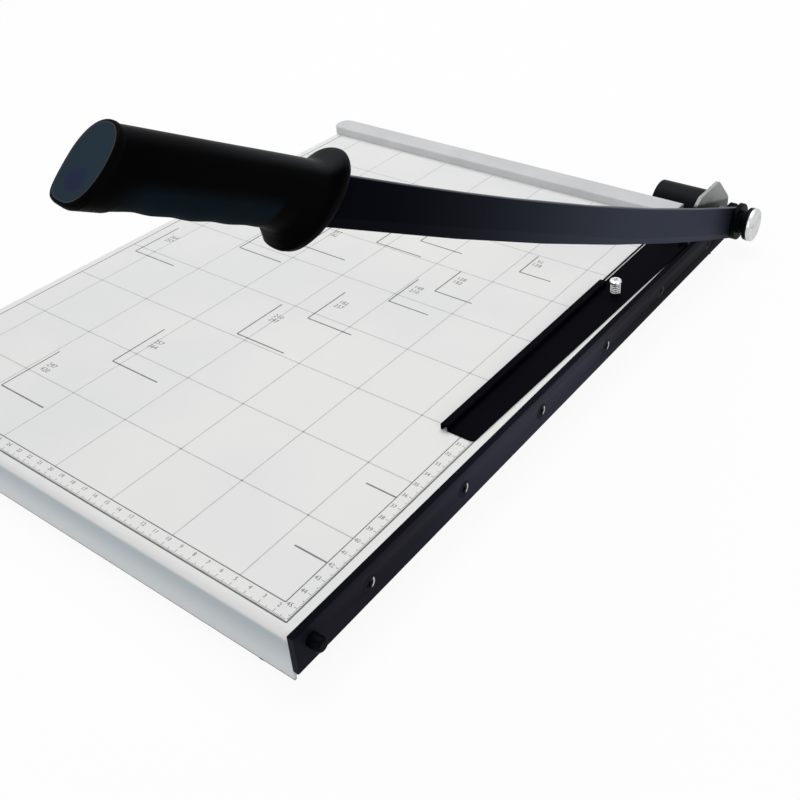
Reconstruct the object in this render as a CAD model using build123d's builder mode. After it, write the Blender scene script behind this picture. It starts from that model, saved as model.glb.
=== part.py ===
from build123d import *
from math import asin, cos, degrees, radians, sin
import os

os.makedirs("parts", exist_ok=True)

# A guillotine paper cutter: a folded sheet-steel bed, a fixed blade bolted to its right side,
# a bowed arm blade that turns on a long bolt behind the bed, and a sprung paper clamp.
#
# Frame used while modelling, in millimetres: X = 0 is the cutting plane and +X points away
# from the bed, Y = 0 is the front face of the back ruler and +Y points to the pivot,
# Z = 0 is the table. At the end every piece moves by one vector, so that the origin lies
# on the table under the middle of the assembly.

# ------------------------------------------------------------------ driving sizes
# folded bed
bed_width = 380.0
bed_length = 486.0
bed_height = 31.5
bed_sheet = 1.5
bed_bend_radius = 5.0
bed_flange_width = 18.0
bed_behind_ruler = 1.0
side_wall_height = 24.0

# rubber feet
foot_height = 5.0
foot_radius = 9.0
foot_taper = 8.0
foot_inset = 26.0
foot_screw_radius = 2.0
foot_screw_head_radius = 3.8

# ribs and rail below the bed
rib_width = 26.0
rib_height = 14.0
rib_sheet = 1.2
rib_screw_gap = 9.0
rail_thickness = 6.0
rail_height = 20.0
inner_end_gap = 1.0

# fixed blade and its screws
blade_thickness = 4.0
blade_height = 25.0
blade_chamfer = 0.8
blade_end_radius = 13.5
blade_screw_count = 6
blade_screw_first = 54.0
blade_screw_last = 18.0
blade_screw_radius = 2.5
blade_screw_head_radius = 5.0

# stud that stops the arm when it is closed
stud_setback = 11.0
stud_drop = 10.0
stud_radius = 4.0
stud_length = 8.0
stud_dome = 1.5
stud_thread_radius = 2.5

# back ruler
ruler_width = 20.0
ruler_height = 7.5
ruler_left_overhang = 2.0
ruler_right_gap = 30.0
ruler_end_radius = 9.0
ruler_edge_radius = 1.2
ruler_screw_count = 3
ruler_screw_inset = 40.0
ruler_screw_radius = 2.0
ruler_screw_head_radius = 3.8
ruler_screw_bite = 4.5
ruler_screw_spare = 1.0

# pivot bolt and what is threaded on it, from the head inwards
pivot_back = 50.0
bolt_head_radius = 13.6
bolt_head_thickness = 4.7
bolt_head_edge = 1.2
bolt_radius = 5.0
washer_radius = 13.2
washer_thickness = 2.0
disc_spring_radius = 9.0
disc_spring_thickness = 1.2
disc_spring_dish = 0.7
disc_spring_gap = 0.1
friction_washer_radius = 9.5
friction_washer_thickness = 1.6
boss_radius = 15.0
boss_thickness = 3.7
bush_wall = 1.8
spacer_radius = 8.5

# pivot bracket with its upright cheek
cheek_gap = 8.0
cheek_thickness = 3.0
cheek_front = 3.0
cheek_front_height = 15.8
cheek_shoulder = 12.0
cheek_crest = 46.0
cheek_height = 20.5
cheek_back = 69.0
cheek_back_rise = 10.0
cheek_corner_radius = 6.0
cheek_depth = 29.0
bracket_foot_width = 15.0
bracket_foot_length = 17.0
bracket_back_width = 42.0
bracket_back_inset = 11.0
bracket_screw_radius = 2.5
bracket_screw_head_radius = 4.6

# sprung sleeve at the far end of the bolt
housing_radius = 18.8
housing_length = 50.0
housing_wall = 2.5
housing_edge = 0.8
bolt_end_inset = 3.0
bolt_end_spare = 2.0
spring_wire = 2.0
spring_coil_radius = 9.0
spring_turns = 6
nut_across = 17.0
nut_thickness = 8.0
seat_thickness = 2.0
seat_radius = 11.5

# arm blade
arm_gap = 0.3
arm_thickness = 3.5
arm_width = 22.0
arm_heel = 4.0
arm_chord = 498.0
arm_sag = 6.35
arm_angle = 25.16
arm_bevel_height = 4.0
arm_bevel_depth = 2.0
tang_start = 21.0
tang_end = 102.0
tang_width = 13.0

# handle: its sections are ovals on planes that lean by grip_slant, given as the distance
# from the arm's end, half width, half height and height of the middle over the arm's line
grip_slant = 23.5
grip_front = (15.6, 11.0, 15.6, -0.4)
guard_shoulder = (17.2, 12.4, 21.4, -0.4)
guard_middle = (20.8, 12.7, 23.0, -0.4)
guard_back = (24.8, 11.9, 22.0, -0.4)
grip_throat = (29.0, 11.4, 17.6, 0.2)
grip_thumb = (35.0, 10.8, 15.4, 0.8)
grip_palm = (60.0, 9.6, 15.0, 1.2)
grip_end = (120.4, 9.6, 15.3, 1.2)
cap_thickness = 3.0
cap_edge = 1.0
cap_plug_depth = 8.0
cap_plug_wall = 2.6
handle_screw_first = 48.0
handle_screw_pitch = 38.0
handle_screw_radius = 2.0
handle_screw_head_radius = 3.8
handle_screw_sink = 5.0
handle_screw_bite = 5.0

# paper clamp
clamp_front = 304.2
clamp_back = 26.0
clamp_sheet = 1.2
clamp_left = 33.0
clamp_left_back = 30.4
clamp_right_front = 9.5
clamp_right_back = 3.6
clamp_bead_width = 5.8
clamp_bead_height = 4.4
clamp_bead_round = 1.0
clamp_bead_end = 113.0
clamp_corner = 3.0

# clamp hinge and the sprung screw through the clamp
hinge_back = 14.0
hinge_inset = 17.0
hinge_height = 6.0
hinge_pin_radius = 1.5
hinge_lug_radius = 4.0
hinge_lug_sheet = 1.5
hinge_lug_spread = 18.0
hinge_lug_root = 12.0
hinge_side_gap = 0.3
hinge_bracket_sheet = 1.2
hinge_bracket_length = 20.0
hinge_pin_head_radius = 2.6
hinge_pin_head_thickness = 1.0
hinge_screw_radius = 1.5
hinge_screw_head_radius = 2.8
clamp_screw_back = 119.0
clamp_screw_radius = 2.0
clamp_screw_head_radius = 4.2
clamp_screw_lift = 8.5
clamp_spring_wire = 0.7
clamp_spring_coil_radius = 3.3
clamp_spring_turns = 5

# fits and proportions of the small hardware
running_gap = 0.05
press_gap = 0.02
hole_clearance = 0.2
slot_clearance = 0.2
clamp_hole_clearance = 0.7
head_height_ratio = 0.55
recess_width_ratio = 0.22
nut_height_ratio = 0.8
nut_width_ratio = 1.75

# ------------------------------------------------------------------ places worked out
bed_z = foot_height + bed_height
bed_under = bed_z - bed_sheet
bed_right = -blade_thickness
bed_left = bed_right - bed_width
bed_back = ruler_width + bed_behind_ruler
bed_front = bed_back - bed_length
bed_mid = ((bed_left + bed_right) / 2, (bed_front + bed_back) / 2)

blade_mid_z = bed_z - blade_height / 2
pivot_y = pivot_back
pivot_z = blade_mid_z
rail_left = bed_right - bed_sheet - rail_thickness
blade_screw_length = blade_thickness + bed_sheet + rail_thickness
blade_screw_sink = blade_screw_head_radius - blade_screw_radius
blade_screw_pitch = (bed_length - blade_screw_first - blade_screw_last) / (blade_screw_count - 1)
blade_screw_rows = [bed_front + blade_screw_first + i * blade_screw_pitch for i in range(blade_screw_count)]
blade_screw_spots = [(y, blade_mid_z) for y in blade_screw_rows]
stud_spot = (bed_front + stud_setback, bed_z - stud_drop)

arm_x = arm_gap + arm_thickness
boss_x = arm_x + boss_thickness
friction_x = boss_x + friction_washer_thickness
disc_stack = 2 * (disc_spring_thickness + disc_spring_dish) + disc_spring_gap
washer_x = friction_x + disc_stack
bolt_face_x = washer_x + washer_thickness
bush_inner_radius = bolt_radius + running_gap
bush_radius = bush_inner_radius + bush_wall
bolt_hole_radius = bolt_radius + hole_clearance
cheek_x = bed_right - cheek_gap
cheek_left = cheek_x - cheek_thickness
cheek_bottom = bed_z - cheek_depth
housing_left = cheek_left - housing_length
bolt_end = housing_left + bolt_end_inset
nut_left = bolt_end + bolt_end_spare
seat_left = nut_left + nut_thickness

foot_flange_middle = bed_sheet + bed_flange_width / 2
foot_spots = [
    (x, y)
    for y in (bed_front + foot_flange_middle, bed_back - foot_flange_middle)
    for x in (bed_left + foot_inset, bed_right - foot_inset)
]
ruler_left = bed_left - ruler_left_overhang
ruler_right = -ruler_right_gap
ruler_screw_span = ruler_right - ruler_left - 2 * ruler_screw_inset
ruler_screw_spots = [
    (ruler_left + ruler_screw_inset + i * ruler_screw_span / (ruler_screw_count - 1), ruler_width / 2)
    for i in range(ruler_screw_count)
]
bracket_foot_spot = (cheek_left - bracket_foot_width / 2, cheek_front + bracket_foot_length / 2)
bracket_back_top = bed_z - bed_bend_radius
bracket_back_z = (bracket_back_top + cheek_bottom) / 2
bracket_back_left = cheek_left - bracket_back_width
bracket_back_columns = [bracket_back_left + bracket_back_inset, cheek_left - bracket_back_inset]

arm_curve = (arm_chord**2 / 4 + arm_sag**2) / (2 * arm_sag)
arm_half_turn = asin(arm_chord / 2 / arm_curve)
arm_tilt = radians(arm_angle)
arm_along = Vector(0, -cos(arm_tilt), sin(arm_tilt))
grip_tilt = arm_tilt + arm_half_turn
grip_along = Vector(0, -cos(grip_tilt), sin(grip_tilt))
grip_up = Vector(0, sin(grip_tilt), cos(grip_tilt))
grip_root = Vector(0, pivot_y, pivot_z) + arm_along * arm_chord
grip_x = arm_gap + arm_thickness / 2
slant = radians(grip_slant)

hinge_spot = (-hinge_inset, -hinge_back)
hinge_z = bed_z + hinge_height
hinge_half_spread = hinge_lug_spread / 2
hinge_half_inner = hinge_half_spread - hinge_lug_sheet - hinge_side_gap
clamp_screw_spot = (-hinge_inset, -clamp_screw_back)
clamp_top = bed_z + clamp_sheet
clamp_screw_seat = clamp_top + clamp_screw_lift


# ------------------------------------------------------------------ planes and shared shapes
def across(x):
    """Plane square to X at x, drawn in Y and Z, facing +X."""
    return Plane(origin=(x, 0, 0), x_dir=(0, 1, 0), z_dir=(1, 0, 0))


def on_pivot(x):
    """Plane square to X at x, centred on the pivot axis, facing +X."""
    return Plane(origin=(x, pivot_y, pivot_z), x_dir=(0, 1, 0), z_dir=(1, 0, 0))


def on_arm(x):
    """Plane of the arm at x: first axis from the pivot to the handle, second upwards, facing -X."""
    return Plane(origin=(x, pivot_y, pivot_z), x_dir=arm_along, z_dir=(-1, 0, 0))


def on_grip(x):
    """Plane of the handle at x: first axis along the handle, second upwards, facing -X."""
    return Plane(origin=(x, grip_root.Y, grip_root.Z), x_dir=grip_along, z_dir=(-1, 0, 0))


def across_grip(station, rise):
    """Leaning plane across the handle at a distance from the arm's end, facing the handle's end."""
    middle = grip_root + grip_along * station + grip_up * rise + Vector(grip_x, 0, 0)
    return Plane(origin=middle, x_dir=(1, 0, 0), z_dir=grip_along * cos(slant) + grip_up * sin(slant))


def behind_bed(y):
    """Plane square to Y at y, drawn in -X and Z, facing +Y."""
    return Plane(origin=(0, y, 0), x_dir=(-1, 0, 0), z_dir=(0, 1, 0))


def drill_left(x, y, z):
    """Place for a hole that runs towards -X from a face at x."""
    return Location((x, y, z), (0, 90, 0))


def drill_up(x, y, z):
    """Place for a hole that runs upwards from a face at z."""
    return Location((x, y, z), (180, 0, 0))


def drill_forward(x, y, z):
    """Place for a hole that runs towards -Y from a face at y."""
    return Location((x, y, z), (-90, 0, 0))


def pan_screw(seat, direction, radius, head_radius, grip):
    """Round-headed screw whose head rests at seat and whose shank runs along direction for grip."""
    face = Plane(origin=seat, z_dir=direction)
    head_height = head_radius * head_height_ratio
    with BuildPart() as screw:
        with BuildSketch(face):
            Circle(radius)
        extrude(amount=grip)
        with BuildSketch(face):
            Circle(head_radius)
        extrude(amount=-head_height)
        fillet(screw.faces().sort_by(Axis(seat, direction))[0].edges(), head_height / 2)
        with BuildSketch(face.offset(-head_height)):
            Rectangle(head_radius, head_radius * recess_width_ratio)
            Rectangle(head_radius * recess_width_ratio, head_radius)
        extrude(amount=head_height / 2, mode=Mode.SUBTRACT)
    return screw.part


def hex_nut(seat, direction, radius):
    """Hexagon nut for a screw of this radius, on a face at seat, with its height along direction."""
    with BuildPart() as nut:
        with BuildSketch(Plane(origin=seat, z_dir=direction)):
            RegularPolygon(radius=radius * nut_width_ratio, side_count=6, major_radius=False)
            Circle(radius + hole_clearance, mode=Mode.SUBTRACT)
        extrude(amount=2 * radius * nut_height_ratio)
    return nut.part


def ring(plane, outer_radius, inner_radius, thickness):
    """Flat ring on a plane, such as a washer, tube or disc with a hole."""
    with BuildPart() as body:
        with BuildSketch(plane):
            Circle(outer_radius)
            Circle(inner_radius, mode=Mode.SUBTRACT)
        extrude(amount=thickness)
    return body


def coil(start, direction, length, coil_radius, wire, turns):
    """Open wire coil that fills a length along direction, its two ends included."""
    travel = length - wire
    first = Vector(*start) + Vector(*direction) * (wire / 2)
    with BuildPart() as body:
        with BuildLine():
            path = Helix(pitch=travel / turns, height=travel, radius=coil_radius, center=first, direction=direction)
        with BuildSketch(Plane(origin=path @ 0, z_dir=path % 0)):
            Circle(wire / 2)
        sweep(path=path, is_frenet=True)
    return body


# ------------------------------------------------------------------ bed
with BuildPart() as base_tray:
    with BuildSketch(Plane.XY.offset(foot_height)):
        with Locations(bed_mid):
            Rectangle(bed_width, bed_length)
    extrude(amount=bed_height)
    folded_edges = base_tray.faces().sort_by(Axis.Z)[-1].edges().sort_by(Axis.X)[:-1]
    fillet(folded_edges, bed_bend_radius)
    offset(amount=-bed_sheet, openings=base_tray.faces().sort_by(Axis.Z)[0])
    # flanges folded inwards along the left, front and back skirts
    with BuildSketch(Plane.XY.offset(foot_height)):
        with Locations(bed_mid):
            Rectangle(bed_width - 2 * bed_sheet, bed_length - 2 * bed_sheet)
        with Locations((bed_mid[0] + bed_flange_width, bed_mid[1])):
            Rectangle(bed_width, bed_length - 2 * bed_sheet - 2 * bed_flange_width, mode=Mode.SUBTRACT)
    extrude(amount=bed_sheet)
    # the right wall ends higher than the skirts
    with BuildSketch(Plane.XY.offset(foot_height)):
        with Locations((bed_right, bed_mid[1])):
            Rectangle(2 * bed_sheet, bed_length - 2 * bed_sheet)
    extrude(amount=bed_height - side_wall_height, mode=Mode.SUBTRACT)
    with Locations(*[drill_left(bed_right, y, z) for y, z in blade_screw_spots]):
        Hole(blade_screw_radius + hole_clearance, depth=2 * bed_sheet)
    with Locations(drill_left(bed_right, *stud_spot)):
        Hole(stud_thread_radius + hole_clearance, depth=2 * bed_sheet)
    with Locations(*[drill_up(x, y, foot_height) for x, y in foot_spots]):
        Hole(foot_screw_radius + hole_clearance, depth=2 * bed_sheet)
    with Locations(*[(x, y, bed_z) for x, y in ruler_screw_spots]):
        Hole(ruler_screw_radius + hole_clearance, depth=2 * bed_sheet)
    with Locations((*bracket_foot_spot, bed_z)):
        Hole(bracket_screw_radius + hole_clearance, depth=2 * bed_sheet)
    with Locations(*[drill_forward(x, bed_back, bracket_back_z) for x in bracket_back_columns]):
        Hole(bracket_screw_radius + hole_clearance, depth=2 * bed_sheet)
    with Locations((*hinge_spot, bed_z)):
        Hole(hinge_screw_radius + hole_clearance, depth=2 * bed_sheet)
    with Locations((*clamp_screw_spot, bed_z)):
        Hole(clamp_screw_radius + hole_clearance, depth=2 * bed_sheet)
base_tray.part.label = "base_tray"

# ribs across the underside, channels open downwards: one in front of the clamp screw,
# the other halfway from there to the front edge
rib_left = bed_left + bed_bend_radius + inner_end_gap
rib_right = rail_left - inner_end_gap
rib_back_y = -clamp_screw_back - rib_screw_gap - rib_width / 2
rib_front_y = (bed_front + rib_back_y) / 2
ribs = []
for rib_name, rib_y in (("bed_rib_front", rib_front_y), ("bed_rib_back", rib_back_y)):
    with BuildPart() as bed_rib:
        with BuildSketch(across(rib_left)):
            with Locations((rib_y, bed_under - rib_height / 2)):
                Rectangle(rib_width, rib_height)
            with Locations((rib_y, bed_under - rib_sheet - rib_height / 2)):
                Rectangle(rib_width - 2 * rib_sheet, rib_height, mode=Mode.SUBTRACT)
        extrude(amount=rib_right - rib_left)
    bed_rib.part.label = rib_name
    ribs.append(bed_rib)

# steel bar inside the right wall that takes the threads of the blade screws
rail_length = bed_length - 2 * (bed_bend_radius + inner_end_gap)
with BuildPart() as side_rail:
    with BuildSketch(across(rail_left)):
        with Locations((bed_mid[1], bed_under - rail_height / 2)):
            Rectangle(rail_length, rail_height)
    extrude(amount=rail_thickness)
    with Locations(*[drill_left(rail_left + rail_thickness, y, z) for y, z in blade_screw_spots]):
        Hole(blade_screw_radius + hole_clearance, depth=rail_thickness)
    with Locations(drill_left(rail_left + rail_thickness, *stud_spot)):
        Hole(stud_thread_radius + hole_clearance, depth=rail_thickness)
side_rail.part.label = "side_rail"

# rubber feet under the flanges
feet = []
foot_names = ["foot_front_left", "foot_front_right", "foot_back_left", "foot_back_right"]
for foot_name, foot_spot in zip(foot_names, foot_spots):
    with BuildPart() as foot:
        with BuildSketch(Plane.XY.offset(foot_height)):
            with Locations(foot_spot):
                Circle(foot_radius)
        extrude(amount=-foot_height, taper=foot_taper)
        with Locations(drill_up(*foot_spot, 0)):
            CounterBoreHole(
                radius=foot_screw_radius + hole_clearance,
                counter_bore_radius=foot_screw_head_radius + hole_clearance,
                counter_bore_depth=foot_height / 2,
                depth=foot_height,
            )
    foot.part.label = foot_name
    feet.append(foot)

foot_nut_z = foot_height + bed_sheet
foot_grip = foot_nut_z - foot_height / 2 + 2 * foot_screw_radius * nut_height_ratio
foot_screw_set = [
    pan_screw((x, y, foot_height / 2), (0, 0, 1), foot_screw_radius, foot_screw_head_radius, foot_grip)
    for x, y in foot_spots
]
with BuildPart() as foot_screws:
    add(foot_screw_set)
foot_screws.part.label = "foot_screws"

foot_nut_set = [hex_nut((x, y, foot_nut_z), (0, 0, 1), foot_screw_radius) for x, y in foot_spots]
with BuildPart() as foot_nuts:
    add(foot_nut_set)
foot_nuts.part.label = "foot_nuts"

# ------------------------------------------------------------------ fixed blade
with BuildPart() as fixed_blade:
    with BuildSketch(across(bed_right)):
        with Locations(((bed_front + pivot_y) / 2, blade_mid_z)):
            Rectangle(pivot_y - bed_front, blade_height)
        with Locations((pivot_y, pivot_z)):
            Circle(blade_end_radius)
    extrude(amount=blade_thickness)
    chamfer(fixed_blade.edges().filter_by(Axis.Y).group_by(Axis.Z)[0], blade_chamfer)
    with Locations(*[drill_left(0, y, z) for y, z in blade_screw_spots]):
        CounterSinkHole(
            radius=blade_screw_radius + hole_clearance,
            counter_sink_radius=blade_screw_head_radius + hole_clearance,
            depth=blade_thickness,
            counter_sink_angle=90,
        )
    with Locations(drill_left(0, *stud_spot)):
        Hole(stud_thread_radius + hole_clearance, depth=blade_thickness)
    with Locations(drill_left(0, pivot_y, pivot_z)):
        Hole(bolt_hole_radius, depth=blade_thickness)
fixed_blade.part.label = "fixed_blade"

with BuildPart() as fixed_blade_screws:
    with BuildSketch(across(-blade_screw_length)):
        with Locations(*blade_screw_spots):
            Circle(blade_screw_radius)
    extrude(amount=blade_screw_length)
    with BuildSketch(across(0)):
        with Locations(*blade_screw_spots):
            Circle(blade_screw_head_radius)
    extrude(amount=-blade_screw_sink, taper=45)
    with BuildSketch(across(0)):
        with Locations(*blade_screw_spots):
            Rectangle(blade_screw_head_radius, blade_screw_head_radius * recess_width_ratio)
            Rectangle(blade_screw_head_radius * recess_width_ratio, blade_screw_head_radius)
    extrude(amount=-blade_screw_sink / 2, mode=Mode.SUBTRACT)
fixed_blade_screws.part.label = "fixed_blade_screws"

with BuildPart() as stop_stud:
    with BuildSketch(across(0)):
        with Locations(stud_spot):
            Circle(stud_radius)
    extrude(amount=stud_length)
    fillet(stop_stud.faces().sort_by(Axis.X)[-1].edges(), stud_dome)
    with BuildSketch(across(0)):
        with Locations(stud_spot):
            Circle(stud_thread_radius)
    extrude(amount=-blade_screw_length)
stop_stud.part.label = "stop_stud"

# ------------------------------------------------------------------ back ruler
with BuildPart() as back_ruler:
    with BuildSketch(Plane.XY.offset(bed_z)):
        with Locations(((ruler_left + ruler_right) / 2, ruler_width / 2)):
            Rectangle(ruler_right - ruler_left, ruler_width)
    extrude(amount=ruler_height)
    fillet(back_ruler.edges().filter_by(Axis.Z).group_by(Axis.X)[0], ruler_end_radius)
    fillet(back_ruler.faces().sort_by(Axis.Z)[-1].edges(), ruler_edge_radius)
    with Locations(*[drill_up(x, y, bed_z) for x, y in ruler_screw_spots]):
        Hole(ruler_screw_radius + hole_clearance, depth=ruler_screw_bite + ruler_screw_spare)
back_ruler.part.label = "back_ruler"

ruler_screw_set = [
    pan_screw(
        (x, y, bed_under),
        (0, 0, 1),
        ruler_screw_radius,
        ruler_screw_head_radius,
        bed_sheet + ruler_screw_bite,
    )
    for x, y in ruler_screw_spots
]
with BuildPart() as ruler_screws:
    add(ruler_screw_set)
ruler_screws.part.label = "ruler_screws"

# ------------------------------------------------------------------ pivot bracket
with BuildPart() as pivot_bracket:
    with BuildSketch(across(cheek_left)) as cheek_outline:
        with BuildLine():
            Polyline(
                (cheek_front, bed_z),
                (cheek_front, bed_z + cheek_front_height),
                (cheek_shoulder, bed_z + cheek_height),
                (cheek_crest, bed_z + cheek_height),
                (cheek_back, pivot_z + cheek_back_rise),
                (cheek_back, cheek_bottom),
                (bed_back, cheek_bottom),
                (bed_back, bed_z),
                close=True,
            )
        make_face()
        outer_corners = cheek_outline.vertices().filter_by(
            lambda corner: corner.X > (bed_back + cheek_crest) / 2 and corner.Y > pivot_z
        )
        fillet(outer_corners, cheek_corner_radius)
    extrude(amount=cheek_thickness)
    with BuildSketch(Plane.XY.offset(bed_z)):
        with Locations(bracket_foot_spot):
            Rectangle(bracket_foot_width, bracket_foot_length)
    extrude(amount=cheek_thickness)
    with BuildSketch(behind_bed(bed_back)):
        with Locations((-(bracket_back_left + cheek_left) / 2, bracket_back_z)):
            Rectangle(bracket_back_width, bracket_back_top - cheek_bottom)
    extrude(amount=cheek_thickness)
    with Locations((*bracket_foot_spot, bed_z + cheek_thickness)):
        Hole(bracket_screw_radius + hole_clearance, depth=cheek_thickness)
    with Locations(*[drill_forward(x, bed_back + cheek_thickness, bracket_back_z) for x in bracket_back_columns]):
        Hole(bracket_screw_radius + hole_clearance, depth=cheek_thickness)
    with Locations(drill_left(cheek_x, pivot_y, pivot_z)):
        Hole(bolt_hole_radius, depth=cheek_thickness)
pivot_bracket.part.label = "pivot_bracket"

bracket_grip = cheek_thickness + bed_sheet + 2 * bracket_screw_radius * nut_height_ratio
bracket_seats = [((*bracket_foot_spot, bed_z + cheek_thickness), (0, 0, -1))]
bracket_seats += [((x, bed_back + cheek_thickness, bracket_back_z), (0, -1, 0)) for x in bracket_back_columns]
bracket_screw_set = [
    pan_screw(seat, direction, bracket_screw_radius, bracket_screw_head_radius, bracket_grip)
    for seat, direction in bracket_seats
]
with BuildPart() as bracket_screws:
    add(bracket_screw_set)
bracket_screws.part.label = "bracket_screws"

bracket_nut_seats = [((*bracket_foot_spot, bed_under), (0, 0, -1))]
bracket_nut_seats += [((x, bed_back - bed_sheet, bracket_back_z), (0, -1, 0)) for x in bracket_back_columns]
bracket_nut_set = [hex_nut(seat, direction, bracket_screw_radius) for seat, direction in bracket_nut_seats]
with BuildPart() as bracket_nuts:
    add(bracket_nut_set)
bracket_nuts.part.label = "bracket_nuts"

# ------------------------------------------------------------------ pivot stack, from the head inwards
with BuildPart() as pivot_bolt:
    with BuildSketch(on_pivot(bolt_face_x)):
        Circle(bolt_head_radius)
    extrude(amount=bolt_head_thickness)
    chamfer(pivot_bolt.faces().sort_by(Axis.X)[-1].edges(), bolt_head_edge)
    with BuildSketch(on_pivot(bolt_end)):
        Circle(bolt_radius)
    extrude(amount=bolt_face_x - bolt_end)
pivot_bolt.part.label = "pivot_bolt"

pivot_washer = ring(on_pivot(washer_x), washer_radius, bolt_hole_radius, washer_thickness)
pivot_washer.part.label = "pivot_washer"

# two dished washers with their hollow sides together
disc_rim = friction_x + disc_stack / 2
with BuildPart() as disc_springs:
    with BuildSketch(Plane(origin=(0, pivot_y, pivot_z), x_dir=(1, 0, 0), z_dir=(0, 0, 1))):
        with BuildLine():
            Polyline(
                (friction_x, bolt_hole_radius),
                (friction_x + disc_spring_thickness, bolt_hole_radius),
                (disc_rim - disc_spring_gap / 2, disc_spring_radius),
                (disc_rim - disc_spring_gap / 2 - disc_spring_thickness, disc_spring_radius),
                close=True,
            )
        make_face()
    revolve(axis=Axis((0, pivot_y, pivot_z), (1, 0, 0)))
    mirror(about=on_pivot(disc_rim))
disc_springs.part.label = "disc_springs"

friction_washer = ring(on_pivot(boss_x), friction_washer_radius, bolt_hole_radius, friction_washer_thickness)
friction_washer.part.label = "friction_washer"

arm_boss = ring(on_pivot(arm_x), boss_radius, bush_radius + press_gap, boss_thickness)
arm_boss.part.label = "arm_boss"

arm_bush = ring(on_pivot(arm_gap), bush_radius, bush_inner_radius, boss_x - arm_gap)
arm_bush.part.label = "arm_bush"

pivot_spacer = ring(on_pivot(cheek_x), spacer_radius, bolt_hole_radius, cheek_gap)
pivot_spacer.part.label = "pivot_spacer"

# sleeve with its end wall against the cheek, open at the far end
with BuildPart() as spring_housing:
    with BuildSketch(on_pivot(housing_left)):
        Circle(housing_radius)
    extrude(amount=housing_length)
    with BuildSketch(on_pivot(housing_left)):
        Circle(housing_radius - housing_wall)
    extrude(amount=housing_length - housing_wall, mode=Mode.SUBTRACT)
    with Locations(drill_left(cheek_left, pivot_y, pivot_z)):
        Hole(bolt_hole_radius, depth=housing_wall)
    fillet(spring_housing.faces().sort_by(Axis.X)[0].edges(), housing_edge)
spring_housing.part.label = "spring_housing"

spring_right = cheek_left - housing_wall
spring_room = spring_right - seat_left - seat_thickness
pivot_spring = coil(
    (spring_right, pivot_y, pivot_z),
    (-1, 0, 0),
    spring_room,
    spring_coil_radius,
    spring_wire,
    spring_turns,
)
pivot_spring.part.label = "pivot_spring"

spring_seat = ring(on_pivot(seat_left), seat_radius, bolt_hole_radius, seat_thickness)
spring_seat.part.label = "spring_seat"

with BuildPart() as pivot_nut:
    with BuildSketch(on_pivot(nut_left)):
        RegularPolygon(radius=nut_across / 2, side_count=6, major_radius=False)
        Circle(bolt_radius + press_gap, mode=Mode.SUBTRACT)
    extrude(amount=nut_thickness)
pivot_nut.part.label = "pivot_nut"

# ------------------------------------------------------------------ arm blade
handle_screw_stations = [handle_screw_first, handle_screw_first + handle_screw_pitch]
handle_screw_middles = [grip_root + grip_along * station for station in handle_screw_stations]
arm_centre = (arm_chord / 2, arm_curve - arm_sag)
arm_arc_start = -90 - degrees(arm_half_turn)
# the lower edge before the arm is deepened by its heel towards the pivot
arm_bow = CenterArc(arm_centre, arm_curve + arm_width / 2, arm_arc_start, 2 * degrees(arm_half_turn))
with BuildPart() as blade_arm:
    with BuildSketch(on_arm(arm_x)):
        with BuildLine():
            upper = CenterArc(arm_centre, arm_curve - arm_width / 2, arm_arc_start, 2 * degrees(arm_half_turn))
            lower = ThreePointArc(
                arm_bow @ 0 - Vector(0, arm_heel),
                arm_bow @ 0.5 - Vector(0, arm_heel / 2),
                arm_bow @ 1,
            )
            Line(upper @ 0, lower @ 0)
            Line(upper @ 1, lower @ 1)
        make_face()
    extrude(amount=arm_thickness)
    with BuildSketch(on_grip(arm_x)):
        with Locations((tang_start / 2, 0)):
            Rectangle(tang_start, arm_width)
        with Locations(((tang_start + tang_end) / 2, 0)):
            Rectangle(tang_end - tang_start, tang_width)
    extrude(amount=arm_thickness)
    # grinding on the outer side of the lower edge
    outer_face = blade_arm.faces().filter_by(Axis.X).sort_by(Axis.X)[-1]
    cutting_edges = outer_face.edges().filter_by(lambda edge: edge.length > arm_chord / 2).sort_by(Axis.Z)[:1]
    chamfer(cutting_edges, arm_bevel_height, arm_bevel_depth, reference=outer_face)
    with BuildSketch(on_arm(arm_x)):
        with Locations((0, -arm_heel / 2)):
            Circle((arm_width + arm_heel) / 2)
    extrude(amount=arm_thickness)
    with Locations(drill_left(arm_x, pivot_y, pivot_z)):
        Hole(bush_radius + press_gap, depth=arm_thickness)
    with Locations(*[drill_left(arm_x, spot.Y, spot.Z) for spot in handle_screw_middles]):
        Hole(handle_screw_radius + hole_clearance, depth=arm_thickness)
blade_arm.part.label = "blade_arm"

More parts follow.
